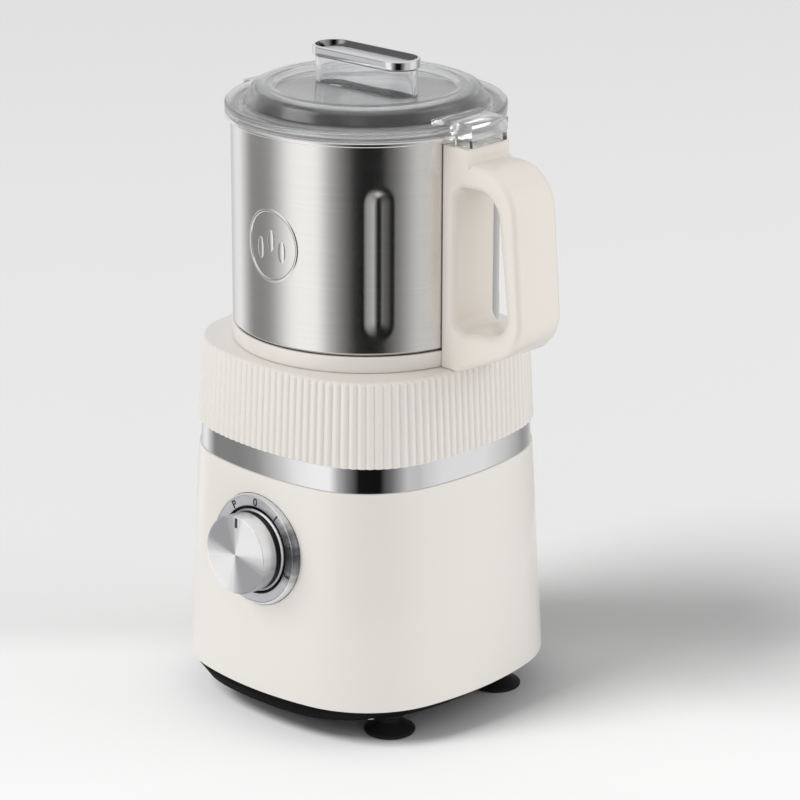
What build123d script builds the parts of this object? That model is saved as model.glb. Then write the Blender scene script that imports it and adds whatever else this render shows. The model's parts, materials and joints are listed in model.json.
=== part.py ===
from build123d import *

import os
from math import atan2, cos, degrees, radians, sin, sqrt, tan

# Powder grinder: a rounded-square motor base with a reeded collar, a lift-off steel cup with
# a handle and blades, and a clear lid. Millimetres, +Z up, origin on the floor under the cup
# axis, knob towards -Y, handle towards +X.

# Clearances shared by all pieces
OVERRUN = 1.0
FIT = 0.05
SEAT = 0.15
SLIDE = 0.4

# Base outline: four bowed sides and four round corners, drawn in towards the top
BASE_WIDTH = 150.0
BASE_SIDE_RADIUS = 159.0
BASE_CORNER_RADIUS = 50.0
BASE_TAPER_ANGLE = 3.26
QUARTER_TURN = 90.0

# Heights of the stack, from the floor up
FOOT_HEIGHT = 10.0
PLATE_SKIRT = 7.5
HOUSING_HEIGHT = 101.5
BAND_HEIGHT = 11.5
COLLAR_HEIGHT = 39.0
RING_HEIGHT = 7.5
CUP_HEIGHT = 96.6
LID_GAP = 0.3
FLANGE_THICKNESS = 4.5
DOME_RISE = 8.1
RECESS_DEPTH = 3.5
GRIP_HEIGHT = 17.0

# Base plate and suction feet
PLATE_TOP_INSET = 1.0
PLATE_BOTTOM_INSET = 3.5
PLATE_FLOOR = 3.0
PLATE_WALL = 2.7
PLATE_LIP = 3.0
PLATE_POST_SETBACK = 11.3
PLATE_BOSS_RADIUS = 5.0
PLATE_BOSS_HEIGHT = 7.0
PLATE_POST_HEIGHT = 22.0
PLATE_RIB_REACH = 8.8
PLATE_RIB_THICKNESS = 3.0
VENT_LENGTH = 30.0
VENT_WIDTH = 3.0
VENT_PITCH = 8.0
VENT_COUNT = 7
FOOT_SETBACK_X = 26.0
FOOT_SETBACK_Y = 39.0
FOOT_RADIUS = 11.7
FOOT_LIP_WIDTH = 1.9
FOOT_EDGE = 1.2
FOOT_HOLLOW = 2.2
FOOT_NECK_RADIUS = 4.5
FOOT_NECK_HEIGHT = 6.0
FOOT_SHOULDER_RADIUS = 7.0
FOOT_SHOULDER_HEIGHT = 8.0
FOOT_STEM_RADIUS = 3.4
FOOT_HEAD_RADIUS = 5.0
FOOT_HEAD_HEIGHT = 2.0

# Housing
HOUSING_WALL = 2.5
SHELF_THICKNESS = 3.0
SHELF_INSET = 9.0
COLLAR_POST_SETBACK = 11.2
COLLAR_POST_RADIUS = 4.5
EAR_RADIUS = 6.0

# Screws that close the base
CASE_SCREW_RADIUS = 1.5
CASE_SCREW_LENGTH = 12.0
CASE_HEAD_RADIUS = 3.0
CASE_HEAD_HEIGHT = 2.0

# Bright band
BAND_INSET = 1.1
BAND_THICKNESS = 1.2

# Reeded collar and its deck
REED_PITCH = 3.8
REED_DEPTH = 0.9
REED_EDGE = 0.7
COLLAR_WALL = 2.5
COLLAR_LIP = 4.0
SPIGOT_WALL = 2.2
DECK_THICKNESS = 3.0
WELL_SETBACK = 10.24
WELL_DEPTH = 8.0
WELL_WALL = 3.0
SUMP_RADIUS = 24.0
SUMP_DEPTH = 30.0
SHAFT_HOLE_RADIUS = 6.5

# Motor hung under the deck
MOTOR_DROP = 8.5
BRACKET_LENGTH = 80.0
BRACKET_WIDTH = 66.0
BRACKET_CORNER = 10.0
BRACKET_THICKNESS = 3.0
EAR_SETBACK = 14.34
EAR_WIDTH = 38.0
MOTOR_POST_SETBACK = 20.34
MOTOR_POST_Y = 14.0
MOTOR_POST_RADIUS = 4.0
DAMPER_RADIUS = 6.5
DAMPER_HEIGHT = 3.0
UPPER_LEG = 15.0
LOWER_LEG = 27.0
LEG_RADIUS = 4.0
BOLT_INSET = 7.0
BOLT_RADIUS = 2.0
BOLT_HEAD_RADIUS = 3.5
BOLT_HEAD_HEIGHT = 3.5
STACK_HEIGHT = 40.0
BORE_RADIUS = 23.0
AIR_GAP = 0.6
COIL_START = 23.5
COIL_DEPTH = 8.0
COIL_HALF_SPAN = 21.5
COIL_LEG = 9.5
COIL_RISE = 7.0
WINDING_RADIUS = 18.0
WINDING_BORE = 9.0
WINDING_RISE = 7.0
SHAFT_RADIUS = 4.0
SHAFT_CHAMFER = 0.5
BEARING_RADIUS = 11.0
BEARING_BOSS_RADIUS = 13.5
BEARING_HEIGHT = 8.0
BEARING_LIP = 1.0
COMMUTATOR_RADIUS = 12.0
COMMUTATOR_HEIGHT = 13.0
COMMUTATOR_LIFT = 4.0
BRUSH_WIDTH = 6.0
BRUSH_HEIGHT = 7.0
BRUSH_LENGTH = 12.0
HOLDER_WALL = 2.0
HOLDER_SETBACK = 2.0
HOLDER_GAP = 1.0
FAN_CLEARANCE = 5.0
FAN_HUB_RADIUS = 10.0
FAN_HEIGHT = 4.5
FAN_DISC = 1.5
FAN_GAP = 1.5
FAN_BLADES = 9
MOTOR_SCREW_LENGTH = 18.0

# Dog couplings between motor and blades
DOG_COUNT = 4
DOG_ANGLE = 40.0
DOG_INNER_RADIUS = 7.0
COUPLING_RADIUS = 15.0
COUPLING_DISC = 4.0
DOG_HEIGHT = 5.0
DOG_GAP = 0.5
COUPLING_CLEARANCE = 2.0

# Knob, bezel and rotary switch, along an axis square to the front face
KNOB_RISE = 66.8
BEZEL_RADIUS = 25.7
BEZEL_PROUD = 2.0
BEZEL_BEVEL = 0.9
BEZEL_SEAT = 2.2
BEZEL_POCKET_DEPTH = 2.5
KNOB_RADIUS = 18.0
KNOB_SKIRT_RADIUS = 19.0
KNOB_SKIRT_HEIGHT = 2.6
KNOB_TOP = 13.3
KNOB_START = 0.8
KNOB_EDGE = 0.6
KNOB_WALL = 3.0
KNOB_HUB_RADIUS = 6.0
KNOB_GAP = 0.5
PAD_RADIUS = 27.0
PAD_DEPTH = 5.2
SWITCH_SIDE = 30.0
SWITCH_DEPTH = 18.0
SWITCH_BUSH_RADIUS = 4.9
SWITCH_NUT_RADIUS = 7.5
SWITCH_NUT_HEIGHT = 2.2
BUSH_STAND = 0.3
SPINDLE_RADIUS = 3.0

# Cord gland at the back
GLAND_RISE = 17.0
GLAND_FLANGE_RADIUS = 8.5
GLAND_FLANGE = 1.6
GLAND_SEAT = 0.6
GLAND_BARREL_RADIUS = 6.0
GLAND_DEPTH = 6.0
GLAND_BORE = 3.5

# Steel cup; its radius leaves a margin of the deck free all round
CUP_MARGIN = 6.1
CUP_WALL = 0.8
CUP_CORNER = 3.6
CUP_NECK = 1.5
RIM_OVERHANG = 2.3
RIM_HEIGHT = 2.2
RIM_EDGE = 0.9
RIB_ANGLE = 48.4
RIB_WIDTH = 13.6
RIB_LENGTH = 68.6
RIB_BOTTOM = 7.9
RIB_DEPTH = 3.2
RIB_CREASE = 1.0
BADGE_WIDTH = 30.0
BADGE_HEIGHT = 33.0
BADGE_LINE = 1.4
BADGE_RISE = 0.5
BADGE_CENTRE = 46.0
BADGE_SAG = 3.75
GRAIN_WIDTH = 4.0
GRAIN_LENGTH = 10.0
GRAIN_SPREAD = 6.5
GRAIN_STEP = 4.0

# Cup base ring
RING_PROUD = 0.15
RING_DISC = 1.8
RING_HOLE_RADIUS = 30.0
SPIGOT_DEPTH = 6.0
SPIGOT_THICKNESS = 3.2

# Bearing sleeve and blades in the cup floor
GASKET_THICKNESS = 0.8
SLEEVE_FLANGE_RADIUS = 17.0
SLEEVE_FLANGE = 3.5
SLEEVE_RADIUS = 11.0
SLEEVE_LENGTH = 17.0
SLEEVE_BORE = 8.0
SLEEVE_SHOULDER = 6.0
SLEEVE_NUT_RADIUS = 18.5
SLEEVE_NUT_HEIGHT = 6.0
BUSH_HEIGHT = 7.0
SEAL_RADIUS = 9.0
SEAL_HEIGHT = 3.0
BLADE_SHAFT_RADIUS = 4.0
BLADE_COLLAR_RADIUS = 6.5
BLADE_COLLAR_HEIGHT = 1.6
BLADE_THICKNESS = 1.5
BLADE_HUB_RADIUS = 9.0
BLADE_GAP = 11.44
BLADE_FLAT = 22.0
BLADE_ROOT_WIDTH = 16.0
BLADE_TIP_WIDTH = 9.0
LOWER_TIP_RISE = -3.0
UPPER_TIP_RISE = 14.0
SPACER_RADIUS = 7.0
SPACER_HEIGHT = 5.0
BLADE_NUT_RADIUS = 7.5
BLADE_NUT_HEIGHT = 5.0
NUT_DOME_RADIUS = 5.5
NUT_DOME_FILLET = 1.8

# Handle, measured out from the cup wall
HANDLE_WIDTH = 28.0
HANDLE_EDGE = 3.4
HANDLE_FOOT_GAP = 0.3
HANDLE_FOOT_REACH = 9.8
HANDLE_FOOT_RADIUS = 6.0
HANDLE_LOW_REACH = 44.8
HANDLE_LOW_RISE = 15.5
HANDLE_LOW_RADIUS = 20.0
HANDLE_TOP_REACH = 38.3
HANDLE_TOP_DROP = 10.6
HANDLE_TOP_RADIUS = 20.0
BOSS_REACH = 12.0
BOSS_DROP = 3.6
BOSS_WALL = 2.0
BOSS_STEP_RADIUS = 1.5
ROOT_THICKNESS = 5.5
GRIP_HOLE_TOP_REACH = 30.6
GRIP_HOLE_LOW_REACH = 36.4
GRIP_HOLE_DROP = 20.4
GRIP_HOLE_RISE = 16.8
GRIP_HOLE_TOP_RADIUS = 12.0
GRIP_HOLE_LOW_RADIUS = 12.0
LUG_SPREAD = 8.9
LUG_WIDTH = 6.0
LUG_DEPTH = 5.5
LUG_HEIGHT = 5.0
LUG_INSET = 9.0
LUG_LIFT = 1.6
HANDLE_SCREW_RADIUS = 1.4
HANDLE_HEAD_RADIUS = 2.4
HANDLE_HEAD_HEIGHT = 1.8
HANDLE_HEAD_RECESS = 0.4

# Lid interlock: push rod in the handle root, switch under the deck
ROD_STAND = 0.8
ROD_DEPTH = 2.4
ROD_WIDTH = 5.0
ROD_HEAD_WIDTH = 8.0
ROD_HEAD_HEIGHT = 3.0
ROD_TRAVEL = 2.5
ROD_NUB_RADIUS = 2.0
ROD_NUB_INSET = 2.8
ROD_TIP_GAP = 0.3
ROD_DIP = 3.0
ROD_SPRING_HEIGHT = 4.0
ROD_SPRING_RADIUS = 3.0
ROD_SPRING_WALL = 0.7
CAVITY_FLOOR = 2.0
SAFETY_DEPTH = 6.4
SAFETY_LENGTH = 20.0
SAFETY_HEIGHT = 10.0
SAFETY_DROP = 1.0
SAFETY_WALL_GAP = 0.25
PLUNGER_SIDE = 2.8
PLUNGER_TRAVEL = 0.8
PLUNGER_DEPTH = 2.0
PLUNGER_SETBACK = 2.4
SAFETY_SCREW_RADIUS = 1.0
SAFETY_SCREW_SPREAD = 6.0
SAFETY_SCREW_GRIP = 1.8
SAFETY_PAD_RADIUS = 2.4
SAFETY_HEAD_RADIUS = 2.0
SAFETY_HEAD_HEIGHT = 1.5

# Lid
FLANGE_OVERHANG = 0.3
LID_WALL = 2.2
DOME_FOOT_DROP = 8.8
DOME_SHOULDER_DROP = 11.6
DOME_SHOULDER_RISE = 5.4
DOME_BULGE = 0.73
CROWN_DROP = 17.4
RECESS_RIM_DROP = 21.4
RECESS_RIM_FALL = 0.8
RECESS_FLOOR_DROP = 22.8
PLUG_GAP = 1.4
PLUG_WALL = 2.0
PLUG_DEPTH = 10.0
PLUG_TOE = 0.6
PLUG_TOE_HEIGHT = 1.2
LIP_SEAL_HEIGHT = 5.0
LIP_SEAL_LIFT = 0.5
LIP_SEAL_GAP = 0.3
LIP_SEAL_RIB = 0.45
LIP_SEAL_CREST = 1.25
TAB_REACH = 10.8
BACK_TAB_REACH = 3.0
TAB_HALF_WIDTH = 12.0
TAB_ROOT_HALF_WIDTH = 16.0
TAB_RISE = 2.4
TAB_UNDER = 0.7
TAB_LEG = 2.6
TAB_LEG_GAP = 0.3
TAB_CORNER = 2.0

# Grip on the lid
GRIP_SETBACK = 12.04
GRIP_WIDTH = 17.0
GRIP_WALL = 2.0
TRIM_HEIGHT = 4.2
TRIM_PROUD = 1.4
TRIM_LIP = 3.0
TRIM_LIP_WIDTH = 0.9
TRIM_EDGE = 0.9

# Levels worked out from the heights
Z_PLATE = FOOT_HEIGHT
Z_HOUSING = Z_PLATE + PLATE_SKIRT
Z_BAND = Z_HOUSING + HOUSING_HEIGHT
Z_COLLAR = Z_BAND + BAND_HEIGHT
Z_DECK = Z_COLLAR + COLLAR_HEIGHT
Z_CUP = Z_DECK + RING_HEIGHT
Z_RIM = Z_CUP + CUP_HEIGHT
Z_FLANGE = Z_RIM + LID_GAP
Z_LIP = Z_FLANGE + FLANGE_THICKNESS
Z_CROWN = Z_LIP + DOME_RISE
Z_RECESS = Z_CROWN - RECESS_DEPTH
Z_TOP = Z_RECESS + GRIP_HEIGHT
Z_WELL = Z_DECK - WELL_DEPTH
Z_SUMP = Z_DECK - SUMP_DEPTH
Z_BRACKET_TOP = Z_SUMP - WELL_WALL - MOTOR_DROP
Z_BRACKET = Z_BRACKET_TOP - BRACKET_THICKNESS
Z_STACK_TOP = Z_BRACKET - UPPER_LEG
Z_STACK = Z_STACK_TOP - STACK_HEIGHT
Z_LOWER_TOP = Z_STACK - LOWER_LEG
Z_LOWER = Z_LOWER_TOP - BRACKET_THICKNESS
Z_FAN_TOP = Z_BRACKET - FAN_GAP
Z_FAN = Z_FAN_TOP - FAN_HEIGHT
Z_DRIVE = Z_SUMP + COUPLING_CLEARANCE
Z_DRIVE_FACE = Z_DRIVE + COUPLING_DISC
Z_DRIVEN = Z_DRIVE_FACE + DOG_GAP + DOG_HEIGHT
Z_DRIVEN_TOP = Z_DRIVEN + COUPLING_DISC
Z_POST = Z_PLATE + PLATE_FLOOR + PLATE_BOSS_HEIGHT
Z_CUP_FLOOR = Z_DECK + RING_DISC
Z_CUP_INSIDE = Z_CUP_FLOOR + CUP_WALL
Z_SLEEVE_SEAT = Z_CUP_INSIDE + GASKET_THICKNESS
Z_SLEEVE_TOP = Z_SLEEVE_SEAT + SLEEVE_FLANGE
Z_SLEEVE = Z_SLEEVE_SEAT - SLEEVE_LENGTH
Z_LOWER_BLADE = Z_SLEEVE_TOP + SEAL_HEIGHT + BLADE_COLLAR_HEIGHT
Z_UPPER_BLADE = Z_LOWER_BLADE + BLADE_THICKNESS + SPACER_HEIGHT
Z_BLADE_NUT = Z_UPPER_BLADE + BLADE_THICKNESS
Z_HANDLE_FOOT = Z_DECK + HANDLE_FOOT_GAP
Z_BOSS = Z_RIM - BOSS_DROP
Z_STRAP = Z_RIM - HANDLE_TOP_DROP
Z_GRIP_HOLE_TOP = Z_RIM - GRIP_HOLE_DROP
Z_GRIP_HOLE = Z_DECK + GRIP_HOLE_RISE
Z_CAVITY = Z_GRIP_HOLE_TOP + CAVITY_FLOOR
Z_ROD_HEAD = Z_CAVITY + ROD_SPRING_HEIGHT
Z_ROD_HEAD_TOP = Z_ROD_HEAD + ROD_HEAD_HEIGHT
Z_TAB = Z_RIM - TAB_UNDER
Z_DECK_UNDER = Z_DECK - DECK_THICKNESS
Z_ROD_TIP = Z_DECK - ROD_DIP
Z_SAFETY_TOP = Z_DECK_UNDER - SAFETY_DROP
Z_SAFETY = Z_SAFETY_TOP - SAFETY_HEIGHT
Z_SAFETY_SCREW = (Z_SAFETY + Z_SAFETY_TOP) / 2


def lean(level):
    """How far the tapered base outline has drawn in at a level."""
    return (level - Z_HOUSING) * tan(radians(BASE_TAPER_ANGLE))


# Widths that follow the base outline
SIDE_CENTRE = BASE_SIDE_RADIUS - BASE_WIDTH / 2
ARC_CENTRES = BASE_SIDE_RADIUS - BASE_CORNER_RADIUS
CORNER_CENTRE = (sqrt(2 * ARC_CENTRES ** 2 - SIDE_CENTRE ** 2) - SIDE_CENTRE) / 2
CORNER_REACH = CORNER_CENTRE * sqrt(2) + BASE_CORNER_RADIUS
JOIN_ANGLE = degrees(atan2(CORNER_CENTRE, CORNER_CENTRE + SIDE_CENTRE))
SIDE_ANGLE = 2 * JOIN_ANGLE
CORNER_ANGLE = QUARTER_TURN - SIDE_ANGLE
SIDE_REEDS = round(radians(SIDE_ANGLE) * (BASE_SIDE_RADIUS - lean(Z_COLLAR)) / REED_PITCH)
CORNER_REEDS = round(radians(CORNER_ANGLE) * (BASE_CORNER_RADIUS - lean(Z_COLLAR)) / REED_PITCH)
SPIGOT_INSET = BAND_INSET + BAND_THICKNESS + SEAT
PLATE_POST_OFFSET = (CORNER_REACH - PLATE_POST_SETBACK) / sqrt(2)
COLLAR_POST_OFFSET = (CORNER_REACH - lean(Z_BAND) - COLLAR_POST_SETBACK) / sqrt(2)
FOOT_OFFSET_X = BASE_WIDTH / 2 - FOOT_SETBACK_X
FOOT_OFFSET_Y = BASE_WIDTH / 2 - FOOT_SETBACK_Y
DECK_HALF_WIDTH = BASE_WIDTH / 2 - lean(Z_DECK)
EAR_SPAN = 2 * (DECK_HALF_WIDTH - EAR_SETBACK)
MOTOR_POST_X = DECK_HALF_WIDTH - MOTOR_POST_SETBACK
BOLT_X = BRACKET_LENGTH / 2 - BOLT_INSET
BOLT_Y = BRACKET_WIDTH / 2 - BOLT_INSET
HOLDER_END = BRACKET_LENGTH / 2 - HOLDER_SETBACK
FAN_RADIUS = sqrt(BOLT_X ** 2 + BOLT_Y ** 2) - LEG_RADIUS - FAN_CLEARANCE
CUP_RADIUS = DECK_HALF_WIDTH - CUP_MARGIN
CUP_INSIDE = CUP_RADIUS - CUP_WALL
WELL_RADIUS = CUP_RADIUS - WELL_SETBACK
BLADE_REACH = CUP_INSIDE - BLADE_GAP
RING_RADIUS = CUP_RADIUS + RING_PROUD
NECK_RADIUS = CUP_RADIUS - CUP_NECK
RIM_RADIUS = CUP_RADIUS + RIM_OVERHANG
FLANGE_RADIUS = RIM_RADIUS + FLANGE_OVERHANG
PLUG_RADIUS = CUP_INSIDE - PLUG_GAP
GRIP_LENGTH = 2 * (FLANGE_RADIUS - RECESS_FLOOR_DROP - GRIP_SETBACK)
HANDLE_SEAT_RADIUS = RING_RADIUS + SEAT
ROD_X = CUP_RADIUS + ROD_STAND
ROD_BACK = ROD_X + ROD_DEPTH
ROD_HEAD_END = CUP_RADIUS + BOSS_REACH - BOSS_WALL - SLIDE
NUB_X = ROD_HEAD_END - ROD_NUB_INSET
SAFETY_BACK = DECK_HALF_WIDTH - COLLAR_WALL - SAFETY_WALL_GAP
SAFETY_FRONT = SAFETY_BACK - SAFETY_DEPTH
PLUNGER_X = SAFETY_BACK - PLUNGER_SETBACK

KNOB_LEVEL = Z_HOUSING + KNOB_RISE
GLAND_LEVEL = Z_HOUSING + GLAND_RISE
TAPER_COS = cos(radians(BASE_TAPER_ANGLE))
TAPER_SIN = sin(radians(BASE_TAPER_ANGLE))
KNOB_PLANE = Plane(
    origin=(0, lean(KNOB_LEVEL) - BASE_WIDTH / 2, KNOB_LEVEL),
    x_dir=(1, 0, 0),
    z_dir=(0, -TAPER_COS, TAPER_SIN),
)
GLAND_PLANE = Plane(
    origin=(0, BASE_WIDTH / 2 - lean(GLAND_LEVEL), GLAND_LEVEL),
    x_dir=(-1, 0, 0),
    z_dir=(0, TAPER_COS, TAPER_SIN),
)
CENTRE = ((0, 0),)


def corners(x, y):
    """Four places, one in each quarter."""
    return [(x, y), (-x, y), (-x, -y), (x, -y)]


def outline_point(angle, inset):
    """Point of the base outline where it faces a given angle, drawn in by an inset."""
    turn = (angle + JOIN_ANGLE) // QUARTER_TURN
    local = angle - QUARTER_TURN * turn
    centre = Vector(-SIDE_CENTRE, 0)
    radius = BASE_SIDE_RADIUS
    if local > JOIN_ANGLE:
        centre = Vector(CORNER_CENTRE, CORNER_CENTRE)
        radius = BASE_CORNER_RADIUS
    point = centre + Vector(radius - inset, 0).rotate(Axis.Z, local)
    return point.rotate(Axis.Z, QUARTER_TURN * turn)


def rounded_square(level, inset):
    """Base outline at a level, drawn in by the taper there and a further inset."""
    draw_in = inset + lean(level)
    with BuildSketch(Plane.XY.offset(level)) as sketch:
        with BuildLine():
            for quarter in range(4):
                turn = QUARTER_TURN * quarter
                side = Vector(-SIDE_CENTRE, 0).rotate(Axis.Z, turn)
                corner = Vector(CORNER_CENTRE, CORNER_CENTRE).rotate(Axis.Z, turn)
                CenterArc(side, BASE_SIDE_RADIUS - draw_in, turn - JOIN_ANGLE, SIDE_ANGLE)
                CenterArc(corner, BASE_CORNER_RADIUS - draw_in, turn + JOIN_ANGLE, CORNER_ANGLE)
        make_face()
    return sketch.sketch


def tapered(low, high, inset, mode=Mode.ADD):
    """Solid between two levels that follows the tapered base outline."""
    loft([rounded_square(low, inset), rounded_square(high, inset)], ruled=True, mode=mode)


def reed_angle(reed):
    """Facing angle of the outline after a number of reeds, at equal steps on each arc."""
    quarter, step = divmod(reed, SIDE_REEDS + CORNER_REEDS)
    turn = QUARTER_TURN * quarter
    if step <= SIDE_REEDS:
        return turn - JOIN_ANGLE + SIDE_ANGLE * step / SIDE_REEDS
    return turn + JOIN_ANGLE + CORNER_ANGLE * (step - SIDE_REEDS) / CORNER_REEDS


def reeded_outline(level, inset):
    """Outline of the collar at a level: one outward arc per reed."""
    valley = inset + lean(level)
    with BuildSketch(Plane.XY.offset(level)) as sketch:
        with BuildLine():
            for reed in range(4 * (SIDE_REEDS + CORNER_REEDS)):
                ThreePointArc(
                    outline_point(reed_angle(reed), valley),
                    outline_point(reed_angle(reed + 1 / 2), valley - REED_DEPTH),
                    outline_point(reed_angle(reed + 1), valley),
                )
        make_face()
    return sketch.sketch


def disc(radius, low, high, mode=Mode.ADD, places=CENTRE, plane=Plane.XY):
    """Round discs or pins between two levels over a plane."""
    with BuildSketch(plane.offset(low)) as sketch:
        with Locations(*places):
            Circle(radius)
    extrude(sketch.sketch, amount=high - low, mode=mode)


def hexagon(radius, bore, low, high, plane=Plane.XY):
    """Hexagon nut with a bore."""
    with BuildSketch(plane.offset(low)) as sketch:
        RegularPolygon(radius, 6)
        Circle(bore, mode=Mode.SUBTRACT)
    extrude(sketch.sketch, amount=high - low)


def block(x, y, z, mode=Mode.ADD):
    """Box between pairs of bounds along X, Y and Z."""
    with Locations(((x[0] + x[1]) / 2, (y[0] + y[1]) / 2, (z[0] + z[1]) / 2)):
        Box(x[1] - x[0], y[1] - y[0], z[1] - z[0], mode=mode)


def turned(points, mode=Mode.ADD, plane=Plane.XZ, axis=Axis.Z):
    """Solid turned from a closed profile of radius and level."""
    with BuildSketch(plane) as sketch:
        with BuildLine():
            Polyline(*points, close=True)
        make_face()
    revolve(sketch.sketch, axis, mode=mode)


def screws(places, seat, length, sign, head_radius, head_height, shank_radius):
    """Upright screws: heads on one side of a seat level, shanks on the other."""
    with BuildPart() as group:
        for place in places:
            for radius, reach in ((head_radius, -sign * head_height), (shank_radius, sign * length)):
                disc(radius, min(seat, seat + reach), max(seat, seat + reach), places=[place])
    return group.part


def save(part, name):
    """Label a finished piece and write it out."""
    part.label = name
    export_step(part, f"parts/{name}.step")


os.makedirs("parts", exist_ok=True)

# Base plate: black tray with feet holes, vents and screw bosses
plate_posts = corners(PLATE_POST_OFFSET, PLATE_POST_OFFSET)
feet_places = corners(FOOT_OFFSET_X, FOOT_OFFSET_Y)
lip_inset = HOUSING_WALL + SLIDE
tray_inset = lip_inset + PLATE_WALL
with BuildPart() as base_plate:
    bottom = rounded_square(Z_PLATE, PLATE_BOTTOM_INSET)
    loft([bottom, rounded_square(Z_HOUSING, PLATE_TOP_INSET)], ruled=True)
    tapered(Z_HOUSING, Z_HOUSING + PLATE_LIP, lip_inset)
    tapered(Z_PLATE + PLATE_FLOOR, Z_HOUSING + PLATE_LIP + OVERRUN, tray_inset, Mode.SUBTRACT)
    disc(PLATE_BOSS_RADIUS, Z_PLATE, Z_POST, places=plate_posts)
    below = Z_PLATE - OVERRUN
    disc(CASE_SCREW_RADIUS + SEAT, below, Z_POST + OVERRUN, Mode.SUBTRACT, plate_posts)
    disc(CASE_HEAD_RADIUS + SEAT, below, Z_PLATE + PLATE_FLOOR, Mode.SUBTRACT, plate_posts)
    disc(FOOT_STEM_RADIUS + SEAT, below, Z_PLATE + PLATE_FLOOR + OVERRUN, Mode.SUBTRACT, feet_places)
    with BuildSketch(Plane.XY.offset(below)):
        with GridLocations(0, VENT_PITCH, 1, VENT_COUNT):
            SlotOverall(VENT_LENGTH, VENT_WIDTH)
    extrude(amount=PLATE_FLOOR + 2 * OVERRUN, mode=Mode.SUBTRACT)
save(base_plate.part, "base_plate")

# Suction feet: a bell with a hollow under it, a neck, and a stem held in the plate
foot_head = Z_PLATE + PLATE_FLOOR
foot_inner = FOOT_RADIUS - FOOT_LIP_WIDTH
with BuildPart() as foot:
    with BuildSketch(Plane.XZ):
        with BuildLine():
            Polyline(
                (foot_inner, 0), (FOOT_RADIUS, 0), (FOOT_RADIUS, FOOT_EDGE),
            )
            Spline(
                (FOOT_RADIUS, FOOT_EDGE), (FOOT_NECK_RADIUS, FOOT_NECK_HEIGHT),
                tangents=((-1, 0), (0, 1)),
            )
            Polyline(
                (FOOT_NECK_RADIUS, FOOT_NECK_HEIGHT), (FOOT_SHOULDER_RADIUS, FOOT_SHOULDER_HEIGHT),
                (FOOT_SHOULDER_RADIUS, Z_PLATE), (FOOT_STEM_RADIUS, Z_PLATE),
                (FOOT_STEM_RADIUS, foot_head), (FOOT_HEAD_RADIUS, foot_head),
                (FOOT_STEM_RADIUS, foot_head + FOOT_HEAD_HEIGHT),
                (0, foot_head + FOOT_HEAD_HEIGHT), (0, FOOT_HOLLOW),
            )
            RadiusArc((0, FOOT_HOLLOW), (foot_inner, 0), foot_inner ** 2 / FOOT_HOLLOW / 2)
        make_face()
    revolve(axis=Axis.Z)
with BuildPart() as suction_feet:
    with Locations(*feet_places):
        add(foot.part)
save(suction_feet.part, "suction_feet")

plate_screw_seat = Z_PLATE + PLATE_FLOOR
plate_screw_length = PLATE_BOSS_HEIGHT + CASE_SCREW_LENGTH
save(
    screws(
        plate_posts, plate_screw_seat, plate_screw_length, 1,
        CASE_HEAD_RADIUS, CASE_HEAD_HEIGHT, CASE_SCREW_RADIUS,
    ),
    "plate_screws",
)

# Lower housing: what its hollow leaves standing is wall, posts, ribs and pads
collar_posts = corners(COLLAR_POST_OFFSET, COLLAR_POST_OFFSET)
rib_middle = PLATE_POST_OFFSET * sqrt(2) + PLATE_RIB_REACH / 2
rib_low = Z_HOUSING + PLATE_LIP + SLIDE
rib_high = Z_POST + PLATE_POST_HEIGHT
with BuildPart() as housing_hollow:
    tapered(Z_HOUSING - OVERRUN, Z_BAND - SHELF_THICKNESS, HOUSING_WALL)
    disc(PLATE_BOSS_RADIUS, Z_POST, rib_high, Mode.SUBTRACT, plate_posts)
    with PolarLocations(rib_middle, 4, QUARTER_TURN / 2):
        with Locations((0, 0, (rib_low + rib_high) / 2)):
            Box(PLATE_RIB_REACH, PLATE_RIB_THICKNESS, rib_high - rib_low, mode=Mode.SUBTRACT)
    disc(PAD_RADIUS, -PAD_DEPTH, OVERRUN, Mode.SUBTRACT, plane=KNOB_PLANE)
with BuildPart() as lower_housing:
    tapered(Z_HOUSING, Z_BAND, 0)
    add(housing_hollow.part, mode=Mode.SUBTRACT)
    tapered(Z_BAND - SHELF_THICKNESS - OVERRUN, Z_BAND + OVERRUN, SHELF_INSET, Mode.SUBTRACT)
    disc(EAR_RADIUS, Z_BAND - SHELF_THICKNESS, Z_BAND, places=collar_posts)
    disc(
        CASE_SCREW_RADIUS + SEAT, Z_BAND - SHELF_THICKNESS - OVERRUN, Z_BAND + OVERRUN,
        Mode.SUBTRACT, collar_posts,
    )
    disc(
        CASE_SCREW_RADIUS + FIT, Z_POST - OVERRUN, Z_POST + CASE_SCREW_LENGTH + OVERRUN,
        Mode.SUBTRACT, plate_posts,
    )
    disc(BEZEL_RADIUS + SEAT, -BEZEL_SEAT, BEZEL_PROUD, Mode.SUBTRACT, plane=KNOB_PLANE)
    disc(SWITCH_BUSH_RADIUS + SEAT, -PAD_DEPTH - OVERRUN, 0, Mode.SUBTRACT, plane=KNOB_PLANE)
    disc(GLAND_FLANGE_RADIUS + SEAT, -GLAND_SEAT, GLAND_FLANGE, Mode.SUBTRACT, plane=GLAND_PLANE)
    disc(GLAND_BARREL_RADIUS + SEAT, -GLAND_DEPTH, GLAND_FLANGE, Mode.SUBTRACT, plane=GLAND_PLANE)
save(lower_housing.part, "lower_housing")

save(
    screws(
        collar_posts, Z_BAND - SHELF_THICKNESS, SHELF_THICKNESS + CASE_SCREW_LENGTH, 1,
        CASE_HEAD_RADIUS, CASE_HEAD_HEIGHT, CASE_SCREW_RADIUS,
    ),
    "collar_screws",
)

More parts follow.
